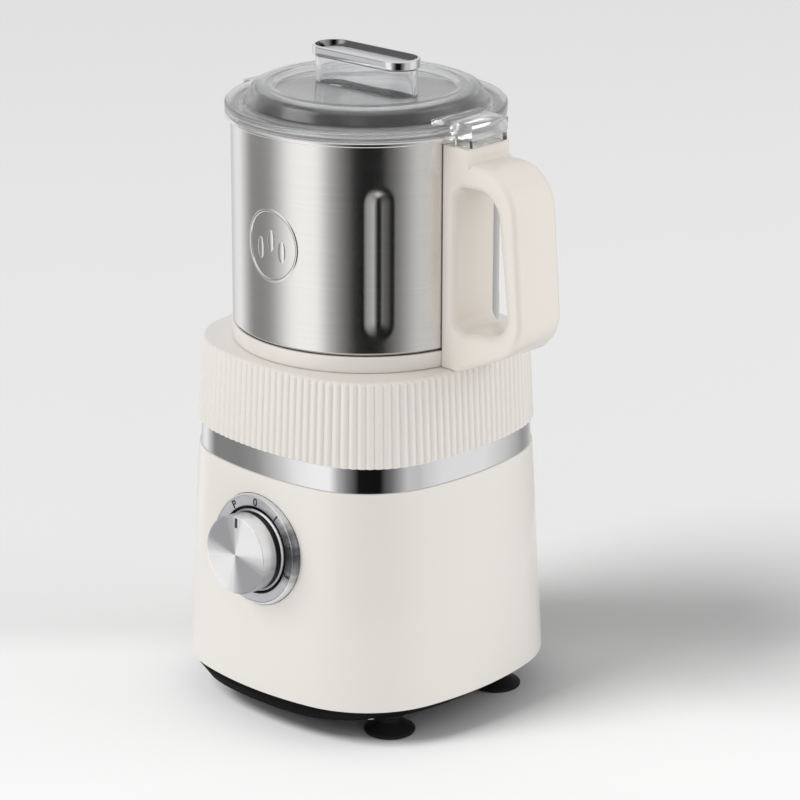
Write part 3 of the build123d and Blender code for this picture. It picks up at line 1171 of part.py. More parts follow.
with BuildPart() as handle:
    with BuildSketch(Plane.XZ):
        with BuildLine():
            FilletPolyline(
                (CUP_INSIDE, Z_HANDLE_FOOT), (CUP_RADIUS + HANDLE_FOOT_REACH, Z_HANDLE_FOOT),
                (CUP_RADIUS + HANDLE_LOW_REACH, Z_HANDLE_FOOT + HANDLE_LOW_RISE),
                (CUP_RADIUS + HANDLE_TOP_REACH, Z_STRAP), (CUP_RADIUS + BOSS_REACH, Z_STRAP),
                (CUP_RADIUS + BOSS_REACH, Z_BOSS), (CUP_INSIDE, Z_BOSS),
                radius=[
                    0, HANDLE_FOOT_RADIUS, HANDLE_LOW_RADIUS, HANDLE_TOP_RADIUS,
                    BOSS_STEP_RADIUS, BOSS_STEP_RADIUS, 0,
                ],
                close=True,
            )
        make_face()
    extrude(amount=half_width, both=True)
    outer_faces = handle.faces().filter_by(Axis.Y)
    rounded_edges = [
        edge for face in outer_faces for edge in face.edges()
        if edge.center().X > CUP_RADIUS + HANDLE_FOOT_REACH
        and edge.center().Z < Z_STRAP + BOSS_STEP_RADIUS / 2
    ]
    fillet(rounded_edges, HANDLE_EDGE)
    add(grip_hole.part, mode=Mode.SUBTRACT)
    disc(HANDLE_SEAT_RADIUS, Z_DECK - OVERRUN, Z_RIM, Mode.SUBTRACT)
    block((CUP_INSIDE, ROD_BACK + SLIDE), (-rod_half, rod_half), (Z_DECK, Z_ROD_HEAD), Mode.SUBTRACT)
    block(
        (CUP_INSIDE, ROD_HEAD_END + SLIDE), (-cavity_half, cavity_half),
        (Z_CAVITY, Z_ROD_HEAD_TOP + ROD_TRAVEL + SLIDE), Mode.SUBTRACT,
    )
    disc(ROD_NUB_RADIUS + SLIDE, Z_CAVITY, Z_RIM, Mode.SUBTRACT, [(NUB_X, 0)])
    for lug_level in (lower_lug, upper_lug):
        for place in lug_places:
            block(
                (CUP_INSIDE, CUP_RADIUS + LUG_DEPTH + SEAT),
                (place[1] - LUG_WIDTH / 2 - SEAT, place[1] + LUG_WIDTH / 2 + SEAT),
                (lug_level - SEAT, lug_level + LUG_HEIGHT + SEAT), Mode.SUBTRACT,
            )
    head_depth = HANDLE_HEAD_HEIGHT + HANDLE_HEAD_RECESS
    disc(HANDLE_HEAD_RADIUS + SEAT, Z_BOSS - head_depth, Z_RIM, Mode.SUBTRACT, lug_places)
    disc(HANDLE_HEAD_RADIUS + SEAT, Z_DECK, Z_HANDLE_FOOT + head_depth, Mode.SUBTRACT, lug_places)
    disc(HANDLE_SCREW_RADIUS + SEAT, upper_lug, Z_RIM, Mode.SUBTRACT, lug_places)
    disc(HANDLE_SCREW_RADIUS + SEAT, Z_DECK, lower_lug + LUG_HEIGHT, Mode.SUBTRACT, lug_places)
save(handle.part, "handle")

with BuildPart() as handle_lugs:
    for lug_level in (lower_lug, upper_lug):
        for place in lug_places:
            block(
                (CUP_INSIDE, CUP_RADIUS + LUG_DEPTH),
                (place[1] - LUG_WIDTH / 2, place[1] + LUG_WIDTH / 2), (lug_level, lug_level + LUG_HEIGHT),
            )
    disc(CUP_RADIUS + FIT, Z_DECK, Z_RIM, Mode.SUBTRACT)
    disc(HANDLE_SCREW_RADIUS + FIT, Z_DECK, Z_RIM, Mode.SUBTRACT, lug_places)
save(handle_lugs.part, "handle_lugs")

upper_seat = Z_BOSS - head_depth
lower_seat = Z_HANDLE_FOOT + head_depth
with BuildPart() as handle_screws:
    add(
        screws(
            lug_places, upper_seat, upper_seat - upper_lug, -1,
            HANDLE_HEAD_RADIUS, HANDLE_HEAD_HEIGHT, HANDLE_SCREW_RADIUS,
        )
    )
    add(
        screws(
            lug_places, lower_seat, lower_lug + LUG_HEIGHT - lower_seat, 1,
            HANDLE_HEAD_RADIUS, HANDLE_HEAD_HEIGHT, HANDLE_SCREW_RADIUS,
        )
    )
save(handle_screws.part, "handle_screws")

# Push rod under the lid tab, its spring, and the switch that it presses
with BuildPart() as push_rod:
    block((ROD_X, ROD_BACK), (-ROD_WIDTH / 2, ROD_WIDTH / 2), (Z_ROD_TIP, Z_ROD_HEAD_TOP))
    block(
        (ROD_X, ROD_HEAD_END), (-ROD_HEAD_WIDTH / 2, ROD_HEAD_WIDTH / 2),
        (Z_ROD_HEAD, Z_ROD_HEAD_TOP),
    )
    disc(ROD_NUB_RADIUS, Z_ROD_HEAD_TOP, Z_TAB - ROD_TIP_GAP, places=[(NUB_X, 0)])
save(push_rod.part, "push_rod")

with BuildPart() as push_rod_spring:
    disc(ROD_SPRING_RADIUS, Z_CAVITY, Z_ROD_HEAD, places=[(NUB_X, 0)])
    disc(
        ROD_SPRING_RADIUS - ROD_SPRING_WALL, Z_CAVITY - OVERRUN, Z_ROD_HEAD + OVERRUN,
        Mode.SUBTRACT, [(NUB_X, 0)],
    )
save(push_rod_spring.part, "push_rod_spring")

plunger_half = PLUNGER_SIDE / 2
plunger_low = Z_SAFETY_TOP - PLUNGER_DEPTH
with BuildPart() as safety_switch:
    block(
        (SAFETY_FRONT, SAFETY_BACK), (-SAFETY_LENGTH / 2, SAFETY_LENGTH / 2), (Z_SAFETY, Z_SAFETY_TOP),
    )
    block(
        (PLUNGER_X - plunger_half - SEAT, PLUNGER_X + plunger_half + SEAT),
        (-plunger_half - SEAT, plunger_half + SEAT),
        (plunger_low - SEAT, Z_SAFETY_TOP + OVERRUN), Mode.SUBTRACT,
    )
    disc(
        SAFETY_SCREW_RADIUS + SEAT, SAFETY_FRONT - OVERRUN, SAFETY_BACK + OVERRUN,
        Mode.SUBTRACT, pad_places, Plane.YZ,
    )
save(safety_switch.part, "safety_switch")

with BuildPart() as switch_plunger:
    block(
        (PLUNGER_X - plunger_half, PLUNGER_X + plunger_half), (-plunger_half, plunger_half),
        (plunger_low, Z_ROD_TIP - ROD_TIP_GAP),
    )
save(switch_plunger.part, "switch_plunger")

with BuildPart() as safety_switch_screws:
    disc(
        SAFETY_HEAD_RADIUS, SAFETY_FRONT - SAFETY_HEAD_HEIGHT, SAFETY_FRONT,
        places=pad_places, plane=Plane.YZ,
    )
    disc(
        SAFETY_SCREW_RADIUS, SAFETY_FRONT, SAFETY_BACK + SAFETY_SCREW_GRIP,
        places=pad_places, plane=Plane.YZ,
    )
save(safety_switch_screws.part, "safety_switch_screws")

# Lid: flange, domed shoulder with a recess, plug with a seal, a tab over the handle and a small one behind
dome_foot = FLANGE_RADIUS - DOME_FOOT_DROP
shoulder = (FLANGE_RADIUS - DOME_SHOULDER_DROP, Z_LIP + DOME_SHOULDER_RISE)
crown = (FLANGE_RADIUS - CROWN_DROP, Z_CROWN)
recess_rim = (FLANGE_RADIUS - RECESS_RIM_DROP, Z_CROWN - RECESS_RIM_FALL)
recess_floor = (FLANGE_RADIUS - RECESS_FLOOR_DROP, Z_RECESS)
plug_inside = PLUG_RADIUS - PLUG_WALL
Z_PLUG = Z_FLANGE - PLUG_DEPTH
tab_end = FLANGE_RADIUS + TAB_REACH
with BuildPart() as tabs:
    with BuildSketch(Plane.XY.offset(Z_TAB)):
        with BuildLine():
            Polyline(
                (plug_inside, -TAB_ROOT_HALF_WIDTH), (RIM_RADIUS, -TAB_HALF_WIDTH),
                (tab_end, -TAB_HALF_WIDTH), (tab_end, TAB_HALF_WIDTH),
                (RIM_RADIUS, TAB_HALF_WIDTH), (plug_inside, TAB_ROOT_HALF_WIDTH), close=True,
            )
        make_face()
    extrude(amount=Z_LIP + TAB_RISE - Z_TAB)
    block(
        (-FLANGE_RADIUS - BACK_TAB_REACH, -plug_inside), (-TAB_HALF_WIDTH, TAB_HALF_WIDTH),
        (Z_FLANGE, Z_LIP),
    )
    outer_corners = tabs.edges().filter_by(Axis.Z).filter_by(
        lambda edge: abs(edge.center().X) > FLANGE_RADIUS
    )
    fillet(outer_corners, TAB_CORNER)
    block(
        (tab_end - TAB_LEG, tab_end), (TAB_CORNER - TAB_HALF_WIDTH, TAB_HALF_WIDTH - TAB_CORNER),
        (Z_BOSS + TAB_LEG_GAP, Z_TAB),
    )
    disc(RIM_RADIUS + SLIDE, Z_BOSS, Z_FLANGE, Mode.SUBTRACT)
    disc(dome_foot - OVERRUN, Z_BOSS, Z_TOP, Mode.SUBTRACT)
with BuildPart() as lid_shell:
    with BuildSketch(Plane.XZ):
        with BuildLine():
            Polyline(
                (plug_inside, Z_PLUG), (PLUG_RADIUS + PLUG_TOE, Z_PLUG),
                (PLUG_RADIUS + PLUG_TOE, Z_PLUG + PLUG_TOE_HEIGHT),
                (PLUG_RADIUS, Z_PLUG + PLUG_TOE_HEIGHT), (PLUG_RADIUS, Z_FLANGE),
                (FLANGE_RADIUS, Z_FLANGE), (FLANGE_RADIUS, Z_LIP), (dome_foot, Z_LIP), shoulder,
            )
            ThreePointArc(
                shoulder,
                ((shoulder[0] + crown[0]) / 2 + DOME_BULGE, (shoulder[1] + Z_CROWN) / 2 + DOME_BULGE),
                crown,
            )
            Polyline(
                crown, recess_rim, recess_floor, (0, Z_RECESS), (0, Z_RECESS - LID_WALL),
                (recess_rim[0], Z_RECESS - LID_WALL), (crown[0], Z_CROWN - LID_WALL),
                (shoulder[0] - LID_WALL, shoulder[1] - LID_WALL / 2),
                (dome_foot - LID_WALL, Z_LIP - LID_WALL), (plug_inside, Z_FLANGE), (plug_inside, Z_PLUG),
            )
        make_face()
    revolve(axis=Axis.Z)
    add(tabs.part)
    with BuildSketch(Plane.XY.offset(Z_RECESS - LID_WALL - OVERRUN)):
        SlotOverall(GRIP_LENGTH - 2 * GRIP_WALL, GRIP_WIDTH - 2 * GRIP_WALL)
    extrude(amount=LID_WALL + 2 * OVERRUN, mode=Mode.SUBTRACT)
save(lid_shell.part, "lid_shell")

seal_low = Z_PLUG + PLUG_TOE_HEIGHT + LIP_SEAL_LIFT
seal_high = seal_low + LIP_SEAL_HEIGHT
seal_outer = CUP_INSIDE - LIP_SEAL_GAP
seal_waist = seal_outer - LIP_SEAL_RIB
seal_inner = PLUG_RADIUS + SEAT
with BuildPart() as lid_seal:
    turned(
        [
            (seal_inner, seal_low), (seal_waist, seal_low), (seal_outer, seal_low + LIP_SEAL_CREST),
            (seal_waist, (seal_low + seal_high) / 2), (seal_outer, seal_high - LIP_SEAL_CREST),
            (seal_waist, seal_high), (seal_inner, seal_high),
        ]
    )
save(lid_seal.part, "lid_seal")

# Grip: clear hollow stadium closed at the top, with a bright ring on it
grip_top = Z_TOP - TRIM_LIP
trim_length = GRIP_LENGTH + 2 * TRIM_PROUD
trim_width = GRIP_WIDTH + 2 * TRIM_PROUD
with BuildPart() as lid_grip:
    with BuildSketch(Plane.XY.offset(Z_RECESS)):
        SlotOverall(GRIP_LENGTH, GRIP_WIDTH)
    extrude(amount=grip_top - Z_RECESS)
    with BuildSketch(Plane.XY.offset(Z_RECESS - OVERRUN)):
        SlotOverall(GRIP_LENGTH - 2 * GRIP_WALL, GRIP_WIDTH - 2 * GRIP_WALL)
    extrude(amount=grip_top - GRIP_WALL - Z_RECESS + OVERRUN, mode=Mode.SUBTRACT)
save(lid_grip.part, "lid_grip")

with BuildPart() as grip_trim:
    with BuildSketch(Plane.XY.offset(Z_TOP - TRIM_HEIGHT)):
        SlotOverall(trim_length, trim_width)
    extrude(amount=TRIM_HEIGHT)
    chamfer(grip_trim.faces().sort_by(Axis.Z)[-1].edges(), TRIM_EDGE / 2)
    with BuildSketch(Plane.XY.offset(Z_TOP - TRIM_HEIGHT - OVERRUN)):
        SlotOverall(GRIP_LENGTH + 2 * SEAT, GRIP_WIDTH + 2 * SEAT)
    extrude(amount=TRIM_HEIGHT - TRIM_LIP + OVERRUN, mode=Mode.SUBTRACT)
    with BuildSketch(Plane.XY.offset(grip_top - OVERRUN)):
        SlotOverall(GRIP_LENGTH - 2 * TRIM_LIP_WIDTH, GRIP_WIDTH - 2 * TRIM_LIP_WIDTH)
    extrude(amount=TRIM_LIP + 2 * OVERRUN, mode=Mode.SUBTRACT)
save(grip_trim.part, "grip_trim")
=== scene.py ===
import json
import logging
import math
from dataclasses import dataclass, field
from enum import Enum
from typing import Callable, Iterable, Sequence

import bmesh
import bpy
from mathutils import Matrix, Vector


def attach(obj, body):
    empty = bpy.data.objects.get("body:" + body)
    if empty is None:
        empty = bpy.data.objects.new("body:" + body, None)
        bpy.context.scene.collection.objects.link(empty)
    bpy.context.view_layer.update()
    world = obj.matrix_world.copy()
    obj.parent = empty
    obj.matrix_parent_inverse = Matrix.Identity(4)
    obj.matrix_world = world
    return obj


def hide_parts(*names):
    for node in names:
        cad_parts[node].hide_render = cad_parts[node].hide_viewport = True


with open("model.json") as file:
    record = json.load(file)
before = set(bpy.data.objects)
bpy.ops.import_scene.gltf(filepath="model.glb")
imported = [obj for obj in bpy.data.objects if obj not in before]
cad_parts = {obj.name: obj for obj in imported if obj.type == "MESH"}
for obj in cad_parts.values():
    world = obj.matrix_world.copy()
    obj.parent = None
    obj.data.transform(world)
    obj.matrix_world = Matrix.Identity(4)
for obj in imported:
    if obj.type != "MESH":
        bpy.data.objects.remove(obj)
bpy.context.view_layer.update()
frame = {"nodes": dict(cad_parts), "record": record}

# Sizes are written in millimetres, as in the part's source, and turned to metres by MM.
MM = 0.001
# Name of the face attribute that marks a piece's lining, where finishes paint shade in, and how far back a
# face turns to count as such.
SHADED_LINING = "lining"
INWARDS = -0.3
LOG = logging.getLogger("grinder")
Point = tuple[float, float]
Corner = tuple[float, float, float]
Colour = tuple[float, float, float]


class Body(Enum):
    """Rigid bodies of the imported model."""

    BASE = "base"
    KNOB = "knob"
    CUP = "cup"
    LID = "lid"


class Slot(Enum):
    """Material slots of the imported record."""

    CREAM = "cream_plastic"
    CHROME = "chrome"
    BLACK = "black_plastic"
    RUBBER = "black_rubber"
    SEAL = "soft_seal"
    SPUN = "spun_aluminium"
    CUP = "cup_steel"
    STEEL = "steel"
    CLEAR = "clear_plastic"
    INNER = "inner_plastic"
    IRON = "motor_iron"
    COPPER = "copper"
    CARBON = "carbon"


# Shading


class Value:
    """A number in a material; Python operators on it add Math nodes."""

    def __init__(self, look: "Shade", socket: bpy.types.NodeSocket) -> None:
        """Wrap a socket of a material."""
        self.look = look
        self.socket = socket

    def math(self, operation: str, *others: "Value | float", swap: bool = False) -> "Value":
        """Add a Math node.

        Args:
            operation: name of the Math operation.
            others: further operands.
            swap: put this value second.

        Returns:
            The result as a value.
        """
        operands = [*others, self] if swap else [self, *others]
        node = self.look.node("ShaderNodeMath", {"operation": operation}, dict(enumerate(operands)))
        return Value(self.look, node.outputs[0])

    def __add__(self, other: "Value | float") -> "Value":
        """Sum."""
        return self.math("ADD", other)

    __radd__ = __add__

    def __sub__(self, other: "Value | float") -> "Value":
        """Difference."""
        return self.math("SUBTRACT", other)

    def __rsub__(self, other: float) -> "Value":
        """Difference from a number."""
        return self.math("SUBTRACT", other, swap=True)

    def __mul__(self, other: "Value | float") -> "Value":
        """Product."""
        return self.math("MULTIPLY", other)

    __rmul__ = __mul__

    def __truediv__(self, other: "Value | float") -> "Value":
        """Quotient."""
        return self.math("DIVIDE", other)

    def __rtruediv__(self, other: float) -> "Value":
        """Quotient of a number."""
        return self.math("DIVIDE", other, swap=True)

    def between(self, low: float, high: float) -> "Value":
        """Rise smoothly from 0 at low to 1 at high.

        Args:
            low: value that gives 0.
            high: value that gives 1.

        Returns:
            The share as a value.
        """
        span = {"Value": self, "From Min": low, "From Max": high}
        node = self.look.node("ShaderNodeMapRange", {"interpolation_type": "SMOOTHSTEP"}, span)
        return Value(self.look, node.outputs["Result"])

    def past(self, length: float, edge: float = 0.1) -> "Value":
        """Share of 1 past a length, which it reaches over an edge; both in millimetres."""
        return self.between(length * MM, (length + edge) * MM)


class Shade:
    """A material under construction around one Principled shader."""

    def __init__(self, name: str) -> None:
        """Start a material with a bare Principled shader.

        Args:
            name: name of the material.
        """
        self.material = bpy.data.materials.new(name)
        self.material.use_nodes = True
        self.tree = self.material.node_tree
        self.shader = self.tree.nodes["Principled BSDF"]
        self.place = self.node("ShaderNodeTexCoord").outputs["Object"]

    def node(self, kind: str, settings: dict | None = None, inputs: dict | None = None) -> bpy.types.Node:
        """Add any node.

        Args:
            kind: type of the node.
            settings: attributes, set first; "stops" fills a grey ramp from 0 to 1.
            inputs: values, sockets or wrapped values for its inputs.

        Returns:
            The node.
        """
        made = self.tree.nodes.new(kind)
        for name, setting in (settings or {}).items():
            if name == "stops":
                ramp = made.color_ramp.elements
                for position, level in setting[1:-1]:
                    ramp.new(position).color = (level, level, level, 1.0)
                for stop, (position, level) in ((ramp[0], setting[0]), (ramp[-1], setting[-1])):
                    stop.position = position
                    stop.color = (level, level, level, 1.0)
            else:
                setattr(made, name, setting)
        for name, value in (inputs or {}).items():
            self.feed(made.inputs[name], value)
        return made

    def feed(self, socket: bpy.types.NodeSocket, value: object) -> None:
        """Link or set one input.

        Args:
            socket: the input.
            value: number, colour, socket or wrapped value.
        """
        if isinstance(value, Value):
            value = value.socket
        if isinstance(value, bpy.types.NodeSocket):
            self.tree.links.new(value, socket)
        else:
            socket.default_value = value

    def mapped(self, scale: Sequence[float], location: Sequence[float] = (0, 0, 0),
               rotation: Sequence[float] = (0, 0, 0)) -> bpy.types.NodeSocket:
        """Object coordinates, moved, turned and scaled as a texture sees them.

        Args:
            scale: scale along each axis.
            location: move in metres.
            rotation: turn about each axis, in radians.

        Returns:
            The mapped vector.
        """
        inputs = {"Vector": self.place, "Location": location, "Rotation": rotation, "Scale": scale}
        return self.node("ShaderNodeMapping", {"vector_type": "POINT"}, inputs).outputs[0]

    def noise(self, scale: float, detail: float = 3.0, vector: bpy.types.NodeSocket | None = None) -> Value:
        """Noise from 0 to 1 on object coordinates."""
        inputs = {"Scale": scale, "Detail": detail, "Vector": vector or self.place}
        return Value(self, self.node("ShaderNodeTexNoise", None, inputs).outputs["Fac"])

    def axis(self, vector: bpy.types.NodeSocket, name: str) -> Value:
        """One coordinate of a vector."""
        return Value(self, self.node("ShaderNodeSeparateXYZ", None, {0: vector}).outputs[name])

    def blend(self, share: Value, first: Sequence[float] | bpy.types.NodeSocket,
              second: Sequence[float]) -> bpy.types.NodeSocket:
        """Colour that goes from first to second with a share.

        Args:
            share: 0 for the first colour, 1 for the second.
            first: colour, or the socket of one.
            second: colour.

        Returns:
            The blended colour.
        """
        start = first if isinstance(first, bpy.types.NodeSocket) else (*first, 1.0)
        node = self.node("ShaderNodeMix", {"data_type": "RGBA"}, {0: share, 6: start, 7: (*second, 1.0)})
        return node.outputs[2]

    def ramp(self, share: Value, stops: Sequence[Point]) -> Value:
        """Grey level that follows a share through stops of position and level."""
        return Value(self, self.node("ShaderNodeValToRGB", {"stops": stops}, {0: share}).outputs[0])

    def lining(self) -> Value:
        """Share of 1 on the faces that are marked as lining, which take painted shade."""
        marked = self.node("ShaderNodeAttribute", {"attribute_name": SHADED_LINING})
        return Value(self, marked.outputs["Fac"])

    def bump(self, height: Value, depth: float, strength: float = 1.0) -> None:
        """Raise the surface by a height from 0 to 1 times a depth in millimetres."""
        inputs = {"Height": height, "Distance": depth * MM, "Strength": strength}
        self.set(Normal=self.node("ShaderNodeBump", None, inputs).outputs["Normal"])

    def veil(self, share: Value, colour: bpy.types.NodeSocket) -> None:
        """Lay a plain surface over the shader, by a share.

        Args:
            share: how much of the plain surface shows.
            colour: its colour.
        """
        over = self.node("ShaderNodeBsdfPrincipled", None, {"Base Color": colour, "Roughness": 0.25})
        layers = {0: share, 1: self.shader.outputs[0], 2: over.outputs[0]}
        mixed = self.node("ShaderNodeMixShader", None, layers)
        self.tree.links.new(mixed.outputs[0], self.tree.nodes["Material Output"].inputs["Surface"])

    def set(self, **inputs: object) -> None:
        """Set or link inputs of the shader; underscores stand for spaces."""
        for name, value in inputs.items():
            self.feed(self.shader.inputs[name.replace("_", " ")], value)


@dataclass(frozen=True)
class Finish:
    """A finish, which sets up the shader of one material."""

    name: str

    def make(self) -> bpy.types.Material:
        """Build the material.

        Returns:
            The material.
        """
        look = Shade(self.name)
        self.paint(look)
        return look.material

    def paint(self, look: Shade) -> None:
        """Set up the shader; each kind of finish has its own way."""
        raise NotImplementedError


@dataclass(frozen=True)
class Plastic(Finish):
    """Moulded plastic or rubber with a faint grain and slightly uneven gloss."""

    colour: Colour
    shade: Colour
    roughness: float
    grain: float = 0.012
    grain_scale: float = 1500.0
    coat: float = 0.0
    specular: float = 0.45

    def paint(self, look: Shade) -> None:
        """Set up the shader.

        Args:
            look: the material.
        """
        grain = look.noise(self.grain_scale, 2.0)
        cloud = look.noise(22.0, 4.0)
        look.set(
            Base_Color=look.blend(cloud, self.colour, self.shade),
            Roughness=cloud * 0.08 + grain * 0.05 + (self.roughness - 0.06),
            Coat_Weight=self.coat, Coat_Roughness=0.12, Specular_IOR_Level=self.specular,
        )
        look.bump(grain, self.grain)


@dataclass(frozen=True)
class Mirror(Finish):
    """Bright plated metal with faint smears, and a painted dark reflection on faces marked as lining."""

    colour: Colour
    roughness: float
    # Colour of the lining: painted dark reflection.
    inner: Colour = (0.35, 0.35, 0.36)

    def paint(self, look: Shade) -> None:
        """Set up the shader.

        Args:
            look: the material.
        """
        smear = look.noise(60.0, 4.0)
        dust = look.noise(900.0, 2.0)
        darker = tuple(part * 0.94 for part in self.colour)
        skin = look.blend(smear, self.colour, darker)
        # Faces marked as lining take the inner colour, a painted dark reflection.
        look.set(
            Base_Color=look.blend(look.lining(), skin, self.inner), Metallic=1.0,
            Roughness=smear * 0.05 + dust * 0.03 + self.roughness,
        )
        look.bump(look.noise(140.0, 2.0), 0.01, 0.25)


@dataclass(frozen=True)
class Brushed(Finish):
    """Metal brushed along one direction; streaks run where the scale is small."""

    colour: Colour
    roughness: float
    streaks: tuple[float, float, float]
    depth: float = 0.01
    contrast: float = 0.82
    # Colour of the lining: painted shade on the inside and floor of the cup.
    inner: Colour = (0.42, 0.416, 0.41)

    def paint(self, look: Shade) -> None:
        """Set up the shader; faces marked as lining get painted shade in their colour, and a rougher gloss.

        Args:
            look: the material.
        """
        streak = look.noise(1.0, 5.0, look.mapped(self.streaks))
        cloud = look.noise(30.0, 3.0)
        darker = tuple(part * self.contrast for part in self.colour)
        skin = look.blend(streak.between(0.3, 0.7), darker, self.colour)
        # Painted shade on the faces marked as lining.
        painted_shade = look.lining()
        look.set(
            Base_Color=look.blend(painted_shade, skin, self.inner), Metallic=1.0,
            Roughness=streak * 0.06 + cloud * 0.04 + painted_shade * 0.2 + (self.roughness - 0.05),
        )
        look.bump(streak, self.depth)


@dataclass(frozen=True)
class Spun(Finish):
    """Turned aluminium: fine rings about the axis, painted highlights in light and dark fans, painted shade
    in a core.
    """

    axis: "KnobAxis"
    colour: Colour
    shade: Colour
    roughness: float
    pitch: float
    depth: float
    # Turn and span of the light and dark fans, which are painted highlights.
    painted_fan_turn: float = 45.0
    painted_fan_span: tuple[float, float] = (-0.8, 0.7)
    metallic: float = 0.72
    stripe: tuple[float, float] = (-9.0, -8.0)
    # Radius inside which the colour goes dark: painted shade of the gap round the knob.
    painted_shade_radius: float = 0.0
    # Colour of the dark stripe, and of the painted shade inside painted_shade_radius.
    dark: Colour = (0.012, 0.012, 0.014)

    def paint(self, look: Shade) -> None:
        """Set up the shader.

        Args:
            look: the material.
        """
        turn = (-self.axis.tilt(), 0.0, 0.0)
        back = Matrix.Rotation(-self.axis.tilt(), 3, "X") @ -self.axis.origin()
        local = look.mapped((1, 1, 1), tuple(back), turn)
        across = look.axis(local, "X")
        up = look.axis(local, "Y")
        stand = look.axis(local, "Z")
        radius = (across * across + up * up).math("SQRT")
        angle = up.math("ARCTAN2", across)
        rings = (radius * (2 * math.pi / (self.pitch * MM))).math("SINE") * 0.5 + 0.5
        uneven = look.noise(2600.0, 2.0, look.node("ShaderNodeCombineXYZ", None, {0: radius}).outputs[0])
        highlight_rays = look.noise(4.5, 5.0, look.node("ShaderNodeCombineXYZ", None, {0: angle}).outputs[0])
        # Light and dark fans about the axis, with streaks: painted highlights of the spun rings.
        painted_fan = ((angle - math.radians(self.painted_fan_turn)) * 2.0).math("COSINE") + highlight_rays * 1.2 - 0.6
        low, high = self.stripe
        dark = stand.past(low, 0.3) * (1.0 - stand.past(high - 0.8, 0.8))
        # Inside painted_shade_radius the colour goes dark: painted shade of the gap between knob and bezel.
        dark = dark.math("MAXIMUM", 1.0 - radius.past(self.painted_shade_radius - 0.2, 0.2))
        skin = look.blend(painted_fan.between(*self.painted_fan_span) * 0.92 + uneven * 0.08, self.shade, self.colour)
        look.set(
            Base_Color=look.blend(dark, skin, self.dark), Metallic=self.metallic * (1.0 - dark),
            Roughness=uneven * 0.12 + self.roughness,
        )
        look.bump(rings * 0.6 + uneven * 0.4, self.depth)


@dataclass(frozen=True)
class Clear(Finish):
    """Clear moulded plastic with a pale haze by radius.

    The plug and the walls of the grip stay clearer, the cap of the grip is paler, and the cut faces of the
    slot under the grip carry painted shade, dark as the inside of the cup seen through it. The slope below
    the crown has a softer gloss.
    """

    tint: Colour
    roughness: float
    haze: tuple[tuple[float, float], ...] = (
        (0, 0.13), (40, 0.13), (42, 0.2), (46, 0.1), (50, 0.0), (54, 0.0), (55.5, 0.13), (62.5, 0.16),
        (64, 0.28), (80, 0.28),
    )
    reach: float = 80.0
    plug: tuple[float, float] = (273.4, 0.1)
    grip: tuple[float, float, float] = (283.4, 296.6, 0.04)
    grip_reach: float = 32.0
    cap: float = 0.65
    slot: tuple[float, float, float] = (19.5, 6.75, 283.05)
    slot_shade_share: float = 0.9
    pale: Colour = (0.93, 0.93, 0.94)
    # Colour of the painted shade on the slot's cut faces.
    dark: Colour = (0.05, 0.052, 0.06)
    slope: tuple[float, float, float, float] = (42.4, 44.8, 53.6, 55.2)
    slope_gloss: float = 0.16

    def paint(self, look: Shade) -> None:
        """Set up the shader.

        Args:
            look: the material.
        """
        across = look.axis(look.place, "X")
        along = look.axis(look.place, "Y")
        level = look.axis(look.place, "Z")
        radius = (across * across + along * along).math("SQRT") / (self.reach * MM)
        stops = [(place / self.reach, share) for place, share in self.haze]
        seat, rest = self.plug
        haze = look.ramp(radius, stops) * (level.past(seat, 0.2) * (1.0 - rest) + rest)
        low, high, thin = self.grip
        near = 1.0 - radius.between(self.grip_reach / self.reach, self.grip_reach / self.reach + 0.01)
        above = level.past(high)
        wall = level.past(low) * (1.0 - above) * near
        # Cut faces of the slot under the grip: painted shade, dark as the inside of the cup seen through
        # them.
        half, round_end, mouth = self.slot
        beyond = (across.math("ABSOLUTE") - half * MM).math("MAXIMUM", 0.0)
        spread = (beyond * beyond + along * along).math("SQRT")
        inside = (1.0 - spread.past(round_end)) * (1.0 - level.past(mouth))
        share = (haze * (1.0 - wall) + wall * thin).math("MAXIMUM", inside * self.slot_shade_share)
        share = share.math("MAXIMUM", above * near * self.cap)
        look.veil(share, look.blend(inside, self.pale, self.dark))
        begin, full, fade, end = (place / self.reach for place in self.slope)
        slope = radius.between(begin, full) * (1.0 - radius.between(fade, end))
        flow = look.noise(45.0, 2.0)
        look.set(
            Base_Color=look.blend(flow, self.tint, tuple(part * 0.96 for part in self.tint)),
            Transmission_Weight=1.0, IOR=1.46,
            Roughness=flow * 0.02 + slope * self.slope_gloss + self.roughness,
        )
        look.bump(flow, 0.05, 0.3)


@dataclass(frozen=True)
class Laminated(Finish):
    """Stacked sheets or windings: thin level lines in colour and relief."""

    colour: Colour
    line: Colour
    pitch: float
    metallic: float

    def paint(self, look: Shade) -> None:
        """Set up the shader.

        Args:
            look: the material.
        """
        level = look.axis(look.place, "Z")
        ridge = (level * (2 * math.pi / (self.pitch * MM))).math("SINE") * 0.5 + 0.5
        stain = look.noise(180.0, 4.0)
        look.set(
            Base_Color=look.blend(ridge * 0.6 + stain * 0.4, self.line, self.colour), Metallic=self.metallic,
            Roughness=stain * 0.2 + 0.35,
        )
        look.bump(ridge, self.pitch * 0.2)


# Modelling


